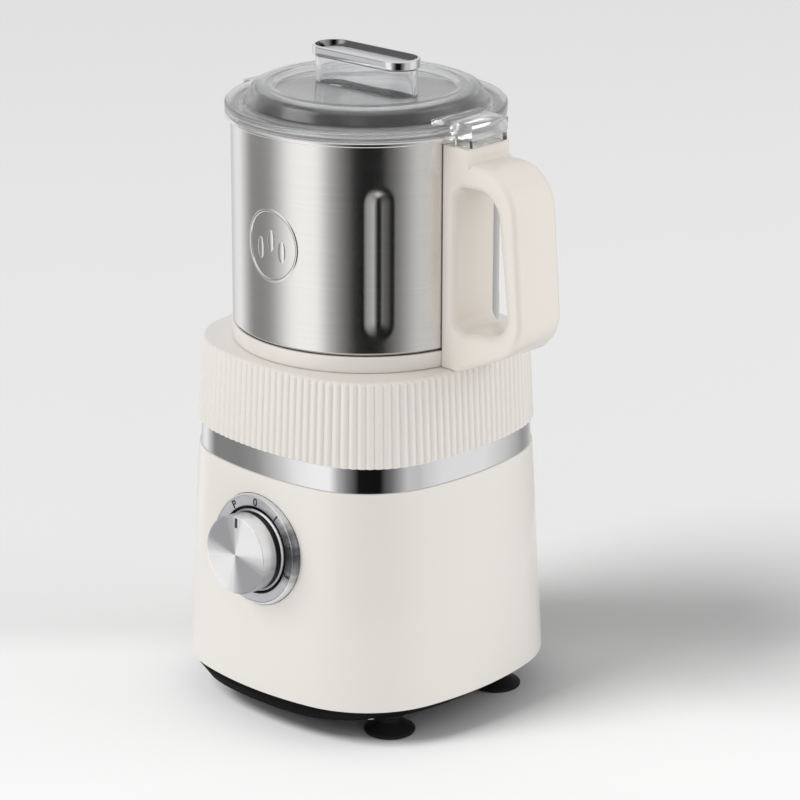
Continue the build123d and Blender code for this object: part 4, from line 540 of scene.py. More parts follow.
def fillets(corners: Iterable[Corner], closed: bool = True, turn: float = 12.0) -> list[Point]:
    """Round the corners of an outline.

    Args:
        corners: across, up and radius of each corner.
        closed: whether the outline runs on from its last corner to its first.
        turn: most degrees between points of an arc.

    Returns:
        The outline's points.
    """
    corners = list(corners)
    points: list[Point] = []
    for number, (across, up, radius) in enumerate(corners):
        end = not closed and number in (0, len(corners) - 1)
        if radius <= 0 or end:
            points.append((across, up))
            continue
        here = Vector((across, up))
        before = (Vector(corners[number - 1][:2]) - here).normalized()
        after = (Vector(corners[(number + 1) % len(corners)][:2]) - here).normalized()
        opening = before.angle(after)
        middle = here + (before + after).normalized() * (radius / math.sin(opening / 2))
        start = here + before * (radius / math.tan(opening / 2)) - middle
        sweep = start.angle_signed(here + after * (radius / math.tan(opening / 2)) - middle)
        steps = max(2, math.ceil(math.degrees(abs(sweep)) / turn))
        for step in range(steps + 1):
            point = middle + Matrix.Rotation(-sweep * step / steps, 2) @ start
            points.append((point.x, point.y))
    return points


class Bench:
    """Edit-mode work on one new object, done with Blender's own tools."""

    SHARP_DEGREES = 40
    WELD = 0.004

    def __init__(self, name: str) -> None:
        """Start an object that holds one vertex at the origin.

        Args:
            name: name of the object.
        """
        bpy.ops.object.select_all(action="DESELECT")
        bpy.ops.mesh.primitive_plane_add(size=MM)
        self.obj = bpy.context.object
        self.obj.name = name
        self.obj.data.name = name
        bpy.ops.object.mode_set(mode="EDIT")
        bpy.ops.mesh.merge(type="CENTER")
        self.at = Vector((0, 0, 0))

    def mesh(self) -> bmesh.types.BMesh:
        """The mesh being edited.

        Returns:
            The mesh, ready to be indexed.
        """
        made = bmesh.from_edit_mesh(self.obj.data)
        made.verts.ensure_lookup_table()
        return made

    def show(self) -> None:
        """Hand changed vertices and selection back to Blender."""
        made = self.mesh()
        made.select_flush_mode()
        bmesh.update_edit_mesh(self.obj.data)

    def line(self, points: Sequence[Sequence[float]], closed: bool = False) -> "Bench":
        """Extrude the first vertex along points in millimetres.

        Args:
            points: places in space, in order.
            closed: join the last point to the first.

        Returns:
            The bench.
        """
        first = len(self.mesh().verts) - 1
        for number, point in enumerate(points):
            goal = Vector(point) * MM
            if number == 0:
                bpy.ops.transform.translate(value=goal - self.at)
            else:
                bpy.ops.mesh.extrude_region_move(TRANSFORM_OT_translate={"value": goal - self.at})
            self.at = goal
        if closed:
            made = self.mesh()
            made.verts[first].select = True
            self.show()
            bpy.ops.mesh.edge_face_add()
        return self

    def restart(self) -> "Bench":
        """Put a new lone vertex at the origin, for a second line.

        Returns:
            The bench.
        """
        bpy.ops.mesh.select_all(action="DESELECT")
        bpy.ops.mesh.primitive_plane_add(size=MM)
        bpy.ops.mesh.merge(type="CENTER")
        self.at = Vector((0, 0, 0))
        return self

    def all(self) -> "Bench":
        """Select everything."""
        bpy.ops.mesh.select_all(action="SELECT")
        return self

    def spin(self, degrees: float, steps: int, centre: Point = (0, 0)) -> "Bench":
        """Spin what is selected about an upright axis.

        Args:
            degrees: angle of the spin.
            steps: divisions of it.
            centre: X and Y of the axis, in millimetres.

        Returns:
            The bench.
        """
        middle = (centre[0] * MM, centre[1] * MM, 0)
        bpy.ops.mesh.spin(steps=steps, angle=-math.radians(degrees), center=middle, axis=(0, 0, 1))
        return self

    def face(self) -> "Bench":
        """Fill what is selected with one face."""
        bpy.ops.mesh.edge_face_add()
        return self

    def push(self, move: Sequence[float]) -> "Bench":
        """Extrude what is selected along a move in millimetres."""
        bpy.ops.mesh.extrude_region_move(TRANSFORM_OT_translate={"value": Vector(move) * MM})
        return self

    def bevel(self, rule: Callable[[Vector], bool], width: float, segments: int) -> "Bench":
        """Round the sharp edges whose ends both meet a rule.

        Args:
            rule: tells of a place in millimetres whether it counts.
            width: width of the rounding in millimetres.
            segments: steps across it.

        Returns:
            The bench.
        """
        bpy.ops.mesh.select_mode(type="EDGE")
        bpy.ops.mesh.select_all(action="DESELECT")
        for edge in self.mesh().edges:
            sharp = edge.calc_face_angle(0.0) > math.radians(self.SHARP_DEGREES)
            edge.select_set(sharp and all(rule(vertex.co / MM) for vertex in edge.verts))
        self.show()
        bpy.ops.mesh.bevel(offset=width * MM, segments=segments, affect="EDGES", clamp_overlap=False)
        bpy.ops.mesh.select_mode(type="VERT")
        return self

    def weld(self) -> "Bench":
        """Merge doubles, close holes and turn the faces outwards.

        Returns:
            The bench.
        """
        self.all()
        bpy.ops.mesh.remove_doubles(threshold=self.WELD * MM)
        bpy.ops.mesh.select_all(action="DESELECT")
        bpy.ops.mesh.select_non_manifold()
        bpy.ops.mesh.fill_holes(sides=0)
        self.all()
        bpy.ops.mesh.normals_make_consistent(inside=False)
        return self

    def shape(self, move: Callable[[Vector], Vector]) -> "Bench":
        """Move every vertex by a rule in millimetres.

        Args:
            move: gives the new place of a place, in millimetres.

        Returns:
            The bench.
        """
        for vertex in self.mesh().verts:
            vertex.co = move(vertex.co / MM) * MM
        bmesh.update_edit_mesh(self.obj.data)
        return self

    def done(self, place: Matrix | None = None) -> bpy.types.Object:
        """Leave edit mode and set the piece in its place.

        Args:
            place: where the piece goes.

        Returns:
            The object.
        """
        bpy.ops.object.mode_set(mode="OBJECT")
        if place is not None:
            self.obj.matrix_world = place
            bpy.ops.object.transform_apply(location=True, rotation=True, scale=True)
        return self.obj


def slab(name: str, plan: Sequence[Point], low: float, high: float,
         place: Matrix | None = None) -> bpy.types.Object:
    """Straight block over a plan, between two levels.

    Args:
        name: name of the object.
        plan: corners in X and Y, in millimetres.
        low: level of the underside.
        high: level of the top.
        place: where the block goes.

    Returns:
        The object.
    """
    bench = Bench(name).line([(x, y, low) for x, y in plan], True).all().face()
    return bench.all().push((0, 0, high - low)).weld().done(place)


def oblong(across: Point, up: Point) -> list[Point]:
    """Corners of an oblong between two places across and two up, counter-clockwise."""
    return [(across[0], up[0]), (across[1], up[0]), (across[1], up[1]), (across[0], up[1])]


def picked(obj: bpy.types.Object) -> None:
    """Select one object alone and make it active.

    Args:
        obj: the object.
    """
    bpy.ops.object.select_all(action="DESELECT")
    bpy.context.view_layer.objects.active = obj
    obj.select_set(True)


def turned(name: str, profile: Sequence[Point], steps: int, place: Matrix | None = None) -> bpy.types.Object:
    """Turn a closed profile of radius and height about the upright axis.

    Args:
        name: name of the object.
        profile: radius and height of each point, in millimetres.
        steps: divisions of the turn.
        place: where the turned piece goes.

    Returns:
        The object.
    """
    bench = Bench(name).line([(radius, 0, height) for radius, height in profile], closed=True)
    return bench.all().spin(360, steps).weld().done(place)


def merged(first: bpy.types.Object, second: bpy.types.Object, operation: str) -> bpy.types.Object:
    """Cut, join or intersect two solids with a Boolean modifier.

    Args:
        first: piece that stays.
        second: tool, which is removed.
        operation: DIFFERENCE, UNION or INTERSECT.

    Returns:
        The first piece.
    """
    picked(first)
    modifier = first.modifiers.new("shape", "BOOLEAN")
    modifier.operation = operation
    modifier.object = second
    modifier.solver = "EXACT"
    bpy.ops.object.modifier_apply(modifier=modifier.name)
    bpy.data.objects.remove(second)
    return first


def softened(obj: bpy.types.Object, width: float, segments: int = 3, angle: float = 35.0) -> bpy.types.Object:
    """Round the sharp edges of a piece by a width in millimetres.

    Args:
        obj: the piece.
        width: width of the rounding in millimetres.
        segments: steps across it.
        angle: edges that turn by more degrees than this are rounded.

    Returns:
        The piece.
    """
    picked(obj)
    modifier = obj.modifiers.new("edges", "BEVEL")
    modifier.width = width * MM
    modifier.segments = segments
    modifier.angle_limit = math.radians(angle)
    modifier.use_clamp_overlap = True
    bpy.ops.object.modifier_apply(modifier=modifier.name)
    return obj


def joined(name: str, pieces: Sequence[bpy.types.Object]) -> bpy.types.Object:
    """Join pieces into one object.

    Args:
        name: name of the result.
        pieces: objects to join, of which the first stays.

    Returns:
        The result.
    """
    picked(pieces[0])
    for piece in pieces:
        piece.select_set(True)
    bpy.ops.object.join()
    pieces[0].name = name
    return pieces[0]


def mirrored(x: float, y: float) -> list[Corner]:
    """A place on the floor and its mirror images, counter-clockwise."""
    return [(x, y, 0), (-x, y, 0), (-x, -y, 0), (x, -y, 0)]


def copied(piece: bpy.types.Object, places: Sequence[Sequence[float]]) -> list[bpy.types.Object]:
    """Copies of a piece with their own meshes, moved by millimetres and applied.

    Args:
        piece: object to copy, which is removed.
        places: moves of the copies, in millimetres.

    Returns:
        The copies.
    """
    copies = []
    for place in places:
        copy = piece.copy()
        copy.data = piece.data.copy()
        bpy.context.collection.objects.link(copy)
        copy.data.transform(Matrix.Translation(Vector(place) * MM))
        copies.append(copy)
    bpy.data.objects.remove(piece)
    return copies


def mark_shaded_lining(obj: bpy.types.Object, rule: Callable[[Vector, Vector], bool]) -> None:
    """Mark faces as lining, where the finishes paint in shade and dark reflection.

    Args:
        obj: the piece.
        rule: tells of a face's centre in millimetres and its normal whether it counts.
    """
    lining = obj.data.attributes.new(SHADED_LINING, "FLOAT", "FACE")
    for face in obj.data.polygons:
        lining.data[face.index].value = 1.0 if rule(face.center / MM, face.normal) else 0.0


@dataclass
class BaseOutline:
    """Rounded square of the base: four bowed sides, four corners, drawn in towards the top."""

    width: float = 150.0
    side_radius: float = 159.0
    corner_radius: float = 50.0
    taper: float = 3.26
    foot: float = 17.5
    side_centre: float = field(init=False)
    corner_centre: float = field(init=False)
    join: float = field(init=False)

    def __post_init__(self) -> None:
        """Work out the arc centres and the angle where the arcs join."""
        reach = self.side_radius - self.corner_radius
        self.side_centre = self.side_radius - self.width / 2
        self.corner_centre = (math.sqrt(2 * reach ** 2 - self.side_centre ** 2) - self.side_centre) / 2
        self.join = math.degrees(math.atan2(self.corner_centre, self.corner_centre + self.side_centre))

    def lean(self, level: float) -> float:
        """How far the outline has drawn in at a level."""
        return (level - self.foot) * math.tan(math.radians(self.taper))

    def half(self, level: float) -> float:
        """Half the width at a level."""
        return self.width / 2 - self.lean(level)

    def start(self, inset: float, level: float) -> tuple[float, float, float]:
        """Where a profile point stands at the first join of the outline.

        Args:
            inset: distance inside the outline.
            level: height.

        Returns:
            The point in space.
        """
        radius = self.side_radius - inset - self.lean(level)
        angle = math.radians(-self.join)
        return (radius * math.cos(angle) - self.side_centre, radius * math.sin(angle), level)

    def swept(self, name: str, profile: Sequence[Point], closed: bool, side: int = 28,
              corner: int = 28) -> Bench:
        """Carry a profile of inset and level round the outline, arc by arc.

        Args:
            name: name of the object.
            profile: inset and level of each point.
            closed: whether the profile is a loop.
            side: steps along each bowed side.
            corner: steps round each corner.

        Returns:
            The bench, with the mesh welded.
        """
        bench = Bench(name).line([self.start(inset, level) for inset, level in profile], closed).all()
        for quarter in range(4):
            turn = Matrix.Rotation(math.radians(90 * quarter), 2)
            side_at = turn @ Vector((-self.side_centre, 0))
            corner_at = turn @ Vector((self.corner_centre, self.corner_centre))
            bench.spin(2 * self.join, side, tuple(side_at))
            bench.spin(90 - 2 * self.join, corner, tuple(corner_at))
        return bench.weld()

    def facing(self, place: Vector) -> tuple[float, float, float]:
        """Facing angle of a place, and its share of the way along a side or corner, and which.

        Args:
            place: point in millimetres.

        Returns:
            Angle in degrees, share from 0 to 1, and 0 for a side or 1 for a corner.
        """
        turn = math.floor((math.degrees(math.atan2(place.y, place.x)) + 45) / 90)
        flat = Matrix.Rotation(math.radians(-90 * turn), 2) @ place.xy
        angle = math.degrees(math.atan2(flat.y, flat.x + self.side_centre))
        if abs(angle) <= self.join:
            return angle + 90 * turn, (angle + self.join) / (2 * self.join), 0.0
        if flat.y > 0:
            angle = math.degrees(math.atan2(flat.y - self.corner_centre, flat.x - self.corner_centre))
        else:
            angle = math.degrees(math.atan2(flat.y + self.corner_centre, flat.x - self.corner_centre)) + 90
            turn -= 1
        return angle + 90 * turn, (angle - self.join) / (90 - 2 * self.join), 1.0


@dataclass
class KnobAxis:
    """Axis of knob and bezel, square to the tapered front wall."""

    outline: BaseOutline
    level: float = 84.3

    def tilt(self) -> float:
        """Turn about X that lays an upright piece on the axis, in radians."""
        return math.radians(90 - self.outline.taper)

    def origin(self) -> Vector:
        """Where the axis meets the wall, in metres."""
        return Vector((0, -self.outline.half(self.level), self.level)) * MM

    def place(self) -> Matrix:
        """Place of a piece that was turned about Z."""
        return Matrix.Translation(self.origin()) @ Matrix.Rotation(self.tilt(), 4, "X")


@dataclass
class Finishes:
    """All materials, made once."""

    knob_axis: KnobAxis

    def __post_init__(self) -> None:
        """Build the materials by slot."""
        looks = {
            Slot.CREAM: self.cream("cream_moulding", (0.80, 0.77, 0.722), (0.785, 0.75, 0.70)),
            Slot.CHROME: Mirror("bright_plating", (0.84, 0.84, 0.85), 0.04),
            Slot.BLACK: Plastic(
                "black_moulding", (0.004, 0.004, 0.005), (0.007, 0.007, 0.008), 0.6, specular=0.04),
            Slot.RUBBER: Plastic(
                "black_rubber", (0.01, 0.01, 0.01), (0.017, 0.016, 0.015), 0.6, 0.02, specular=0.15),
            Slot.SEAL: Plastic("pale_silicone", (0.62, 0.62, 0.60), (0.55, 0.55, 0.53), 0.5),
            # The knob's light and dark fans are painted highlights.
            Slot.SPUN: Spun(
                "spun_aluminium", self.knob_axis, (0.99, 0.99, 0.99), (0.36, 0.36, 0.38), 0.24, 0.22, 0.008,
                metallic=0.5, stripe=(2.05, 5.6), painted_shade_radius=-1.0),
            Slot.CUP: Brushed("cup_steel", (0.86, 0.845, 0.825), 0.2, (14.0, 14.0, 2600.0), 0.0002, 0.96),
            Slot.STEEL: Brushed("plain_steel", (0.6, 0.6, 0.6), 0.3, (700.0, 700.0, 90.0), 0.003),
            Slot.CLEAR: Clear("clear_lid", (0.975, 0.98, 0.985), 0.015),
            Slot.INNER: Plastic("grey_moulding", (0.035, 0.035, 0.037), (0.05, 0.05, 0.052), 0.5),
            Slot.IRON: Laminated("stacked_iron", (0.25, 0.25, 0.26), (0.08, 0.08, 0.085), 0.8, 0.9),
            Slot.COPPER: Laminated("wound_copper", (0.62, 0.29, 0.14), (0.26, 0.1, 0.045), 0.6, 0.9),
            Slot.CARBON: Plastic("brush_carbon", (0.02, 0.02, 0.02), (0.035, 0.035, 0.035), 0.6, 0.03, 700.0),
        }
        self.of = {slot: look.make() for slot, look in looks.items()}
        # The ring's light and dark fans are painted highlights, and its dark core is painted shade of the gap
        # round the knob.
        self.ring = Spun(
            "spun_ring", self.knob_axis, (0.8, 0.8, 0.82), (0.03, 0.03, 0.04), 0.2, 0.3, 0.003, painted_fan_turn=98.0,
            painted_fan_span=(-1.25, -0.1), painted_shade_radius=20.3).make()
        # A warmer copy of the cream for the handle; its warmth is partly its own tint and partly painted warm
        # bounce light.
        self.handle = self.cream("cream_handle_painted_warmth", (0.80, 0.752, 0.688), (0.785, 0.732, 0.666)).make()
        self.ink = Plastic("dial_ink", (0.02, 0.02, 0.022), (0.04, 0.04, 0.045), 0.5).make()

    def cream(self, name: str, colour: Colour, shade: Colour) -> Plastic:
        """Glossy cream moulding in a shade of its own."""
        return Plastic(name, colour, shade, 0.36, grain=0.006, grain_scale=900.0, coat=0.6)

    def dress(self, obj: bpy.types.Object, body: Body, slot: Slot, nodes: Sequence[str] = (),
              smooth: float = 32.0, finish: bpy.types.Material | None = None) -> None:
        """Shade a finished piece and tie it to the model.

        Args:
            obj: the piece.
            body: body that it rides on.
            slot: material slot of the record.
            nodes: CAD nodes that it stands for.
            smooth: edges below this angle shade smooth.
            finish: material, where it is not the slot's own.
        """
        picked(obj)
        bpy.ops.object.shade_smooth_by_angle(angle=math.radians(smooth))
        obj.data.materials.clear()
        obj.data.materials.append(finish or self.of[slot])
        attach(obj, body.value)
        if nodes:
            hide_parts(*nodes)
        LOG.info("%s on %s: %d faces", obj.name, body.value, len(obj.data.polygons))


# Sub-assemblies


@dataclass
class MotorBase:
    """Feet, base plate, housing, bright band and reeded collar."""

    outline: BaseOutline
    axis: KnobAxis
    finishes: Finishes
    plate_low: float = 10.0
    plate_floor: float = 13.0
    plate_lip: Corner = (2.9, 5.6, 20.5)
    foot: float = 17.5
    gland: float = 34.5
    gland_bore: float = 6.15
    band: float = 119.0
    band_inset: Point = (0.8, 2.3)
    collar: float = 130.5
    collar_lap: Point = (2.45, 4.7)
    collar_floor: float = 136.0
    deck: float = 169.5
    inner: float = 30.0
    wall: float = 2.5
    shelf: Point = (9.0, 3.0)
    pocket: Point = (25.85, 2.2)
    well: tuple[Point, ...] = (
        (0, 130), (6.5, 130), (6.5, 139.5), (24, 139.5), (24, 161.5), (50, 161.5), (50, 175), (0, 175),
    )
    switch_slot: tuple[Point, Point] = ((59.4, 63.9), (-2.9, 2.9))
    switch_slot_span: Point = (150.0, 175.0)
    side_reeds: int = 17
    corner_reeds: int = 13
    reed_steps: int = 8
    reed_depth: float = 0.9
    reed_reach: float = 1.1
    drawn_in: float = 7.8
    drawn_from: float = 0.15
    drawn_over: float = 0.7
    drawn_reach: float = 20.0
    vent: Point = (27.0, 3.0)
    vent_pitch: float = 8.0
    vent_rows: int = 7
    screw_bore: Point = (3.15, 1.65)
    feet_at: Point = (49.0, 36.0)
    screws_at: float = 50.0

    def housing(self) -> None:
        """Tapered shell with a shelf on top, a pocket for the bezel and a hole for the gland."""
        shelf, thick = self.shelf
        under = self.band - thick
        profile = fillets([
            (0, self.foot, 0.8), (0, self.band, 0.5), (shelf, self.band, 0), (shelf, under, 0),
            (self.wall, under, 0.4), (self.wall, self.foot, 0.3),
        ])
        shell = self.outline.swept("housing", profile, True, 40, 32).done()
        radius, depth = self.pocket
        seat = [(0, -depth), (radius, -depth), (radius, 6), (0, 6)]
        merged(shell, turned("pocket", seat, 96, self.axis.place()), "DIFFERENCE")
        back = Matrix.Translation(Vector((0, self.outline.width / 2, self.gland)) * MM)
        bore = [(0, -20), (self.gland_bore, -20), (self.gland_bore, 10), (0, 10)]
        entry = turned("entry", bore, 48, back @ Matrix.Rotation(-math.pi / 2, 4, "X"))
        merged(shell, entry, "DIFFERENCE")
        self.finishes.dress(shell, Body.BASE, Slot.CREAM, ["lower_housing"])

    def bright_band(self) -> None:
        """Plain mirror band between housing and collar."""
        front, back = self.band_inset
        profile = fillets([
            (front, self.band, 0.25), (front, self.collar, 0.25),
            (back, self.collar, 0), (back, self.band, 0),
        ])
        band = self.outline.swept("band", profile, True, 48, 40).done()
        self.finishes.dress(band, Body.BASE, Slot.CHROME, ["chrome_band"])

    def reed(self, place: Vector) -> Vector:
        """Push a place on the outer wall of the collar out into its reed.

        Args:
            place: point in millimetres.

        Returns:
            The place on the reed.
        """
        angle, share, kind = self.outline.facing(place)
        inset = self.inset(place, angle, kind)
        fade = max(0.0, 1 - abs(inset) / self.reed_reach)
        if fade == 0 or place.z < self.collar - 0.01:
            return place
        count = self.corner_reeds if kind else self.side_reeds
        phase = (share * count) % 1.0
        rise = self.reed_depth * (1 - (2 * phase - 1) ** 2) * fade
        out = Vector((math.cos(math.radians(angle)), math.sin(math.radians(angle)), 0))
        return place + out * rise

    def inset(self, place: Vector, angle: float, kind: float) -> float:
        """How far inside the tapered outline a place lies.

        Args:
            place: point in millimetres.
            angle: facing angle in degrees.
            kind: 0 for a side, 1 for a corner.

        Returns:
            The distance in millimetres.
        """
        turn = math.floor((angle + self.outline.join) / 90)
        flat = Matrix.Rotation(math.radians(-90 * turn), 2) @ place.xy
        if kind:
            centre = Vector((self.outline.corner_centre, self.outline.corner_centre))
            radius = self.outline.corner_radius
        else:
            centre = Vector((-self.outline.side_centre, 0))
            radius = self.outline.side_radius
        return radius - self.outline.lean(place.z) - (flat - centre).length

    def reeded_collar(self) -> None:
        """Collar with upright reeds, a deck, and a well for the cup's spigot."""
        front, back = self.collar_lap
        profile = fillets([
            (self.inner, self.collar_floor, 0), (back, self.collar_floor, 0), (back, self.band, 0),
            (front, self.band, 0), (front, self.collar, 0), (0, self.collar, 0.7), (0, self.deck, 1.5),
            (self.inner, self.deck, 0),
        ], closed=False, turn=18)
        bench = self.outline.swept(
            "collar", profile, False, self.side_reeds * self.reed_steps, self.corner_reeds * self.reed_steps)
        collar = bench.shape(self.reed).done()
        merged(collar, turned("well", self.well, 128), "DIFFERENCE")
        merged(collar, slab("slot", oblong(*self.switch_slot), *self.switch_slot_span), "DIFFERENCE")
        self.finishes.dress(collar, Body.BASE, Slot.CREAM, ["reeded_collar"], 40)

    def recede(self, place: Vector) -> Vector:
        """Draw the foot of the tray further in on the two sides without the knob.

        Args:
            place: point in millimetres.

        Returns:
            The place drawn in.
        """
        angle, _, kind = self.outline.facing(place)
        inset = self.inset(place, angle, kind)
        sideways = (abs(math.cos(math.radians(angle))) - self.drawn_from) / self.drawn_over
        if place.z > self.foot - 1 or inset > self.drawn_reach:
            return place
        drop = (self.foot - place.z) / (self.foot - self.plate_low)
        drawn = self.drawn_in * min(1.0, max(0.0, sideways)) * drop
        return place - Vector((math.cos(math.radians(angle)), math.sin(math.radians(angle)), 0)) * drawn

    def plate(self) -> None:
        """Black tray with vents and holes for screws."""
        front, back, top = self.plate_lip
        profile = fillets([
            (self.inner, self.plate_floor, 0), (back, self.plate_floor, 0), (back, top, 0), (front, top, 0),
            (front, self.foot, 0), (1.0, self.foot, 0), (1.25, self.foot - 2.2, 1.5),
            (4.2, self.plate_low, 2.4), (self.inner, self.plate_low, 0),
        ], closed=False)
        tray = self.outline.swept("tray", profile, False).shape(self.recede).done()
        length, width = self.vent
        cutter = slab("vent", oblong((-length / 2, length / 2), (-width / 2, width / 2)), 0, 10)
        rows = [(0, self.vent_pitch * (row - self.vent_rows // 2), 7) for row in range(self.vent_rows)]
        vents = [softened(piece, 1.2) for piece in copied(cutter, rows)]
        head, shank = self.screw_bore
        step = self.plate_floor
        bore = [(0, 5), (head, 5), (head, step), (shank, step), (shank, 25), (0, 25)]
        holes = copied(turned("hole", bore, 32), mirrored(self.screws_at, self.screws_at))
        for tool in vents + holes:
            merged(tray, tool, "DIFFERENCE")
        self.finishes.dress(tray, Body.BASE, Slot.BLACK, ["base_plate"])

    def feet(self) -> None:
        """Four suction feet: bell, neck, shoulder and hidden stem."""
        profile = fillets([
            (9.8, 0, 0.3), (11.7, 0, 0.5), (11.7, 1.3, 0.5), (8.2, 2.9, 3), (4.5, 5.0, 1.6), (4.5, 6.4, 0.6),
            (7.0, 8.0, 0.5), (7.0, self.plate_low, 0.3), (3.4, self.plate_low, 0),
            (3.4, self.plate_floor, 0), (5, self.plate_floor, 0), (3.4, 15, 0.4), (0, 15, 0), (0, 2.3, 0),
            (5.5, 1.7, 4),
        ])
        foot = turned("foot", profile, 48)
        feet = joined("feet", copied(foot, mirrored(*self.feet_at)))
        self.finishes.dress(feet, Body.BASE, Slot.RUBBER, ["suction_feet"])

    def build(self) -> None:
        """Make all pieces of the base."""
        self.housing()
        self.bright_band()
        self.reeded_collar()
        self.plate()
        self.feet()


@dataclass
class Dial:
    """Knob with its pointer, and the bezel with its marks."""

    axis: KnobAxis
    finishes: Finishes
    mark_radius: float = 22.0
    mark_size: float = 5.04
    mark_lift: float = 1.6
    mark_depth: float = 0.03
    mark_weight: float = 0.13
    marks: str = "P0123"
    first_mark: float = -36.0
    mark_step: float = 36.0

    def bezel(self) -> None:
        """Ring with a raised bright rim and a recess behind the knob."""
        profile = fillets([
            (5.1, -2.2, 0), (25.6, -2.2, 0), (25.6, 0.2, 0.4), (25.0, 1.7, 0.5), (24.2, 1.9, 0.25),
            (23.9, 1.55, 0.15), (19.9, 1.55, 0.2), (19.5, 1.2, 0.2), (19.5, -0.5, 0.1), (5.1, -0.5, 0),
        ], turn=20)
        ring = turned("bezel", profile, 128, self.axis.place())
        self.finishes.dress(ring, Body.BASE, Slot.SPUN, ["dial_bezel"], 25, self.finishes.ring)

    def lettering(self) -> None:
        """Marks round the dial, standing a hair above the ring."""
        pieces = []
        for number, text in enumerate(self.marks):
            bpy.ops.object.select_all(action="DESELECT")
            bpy.ops.object.text_add()
            mark = bpy.context.object
            mark.data.body = text
            mark.data.size = self.mark_size * MM
            mark.data.align_x = "CENTER"
            mark.data.align_y = "CENTER"
            mark.data.extrude = self.mark_depth * MM
            mark.data.offset = self.mark_weight * MM
            bpy.ops.object.convert(target="MESH")
            angle = self.first_mark + number * self.mark_step
            turn = Matrix.Rotation(math.radians(-angle), 4, "Z")
            lift = Matrix.Translation(Vector((0, self.mark_radius, self.mark_lift)) * MM)
            mark.matrix_world = self.axis.place() @ turn @ lift
            bpy.ops.object.transform_apply(location=True, rotation=True, scale=True)
            pieces.append(mark)
        marks = joined("dial_marks", pieces)
        self.finishes.dress(marks, Body.BASE, Slot.BLACK, finish=self.finishes.ink)

    def knob(self) -> None:
        """Turned knob with a faced end, a waist and a lip at the back."""
        profile = fillets([
            (3.05, 2.9, 0), (6.0, 2.9, 0), (6.0, 10.2, 0), (15.0, 10.2, 0), (15.0, 0.8, 0), (18.6, 0.8, 0.3),
            (18.8, 1.7, 0.2), (18.0, 2.0, 0.1), (17.8, 5.0, 0.1), (18.0, 5.2, 0.1), (18.0, 13.0, 0.1),
            (17.75, 13.3, 0.1), (17.3, 13.15, 0.05), (0, 13.15, 0), (0, 10.3, 0), (3.05, 10.3, 0),
        ], turn=20)
        body = turned("knob_body", profile, 128, self.axis.place())
        self.finishes.dress(body, Body.KNOB, Slot.SPUN, ["knob"], 25)

    def pointer(self) -> None:
        """Dark bar let into the face at the zero mark."""
        bar = slab("pointer", oblong((-0.85, 0.85), (12.6, 17.1)), 12.9, 13.2, self.axis.place())
        self.finishes.dress(softened(bar, 0.12, 2), Body.KNOB, Slot.BLACK, finish=self.finishes.ink)

    def build(self) -> None:
        """Make the dial's pieces."""
        self.bezel()
        self.lettering()
        self.knob()
        self.pointer()


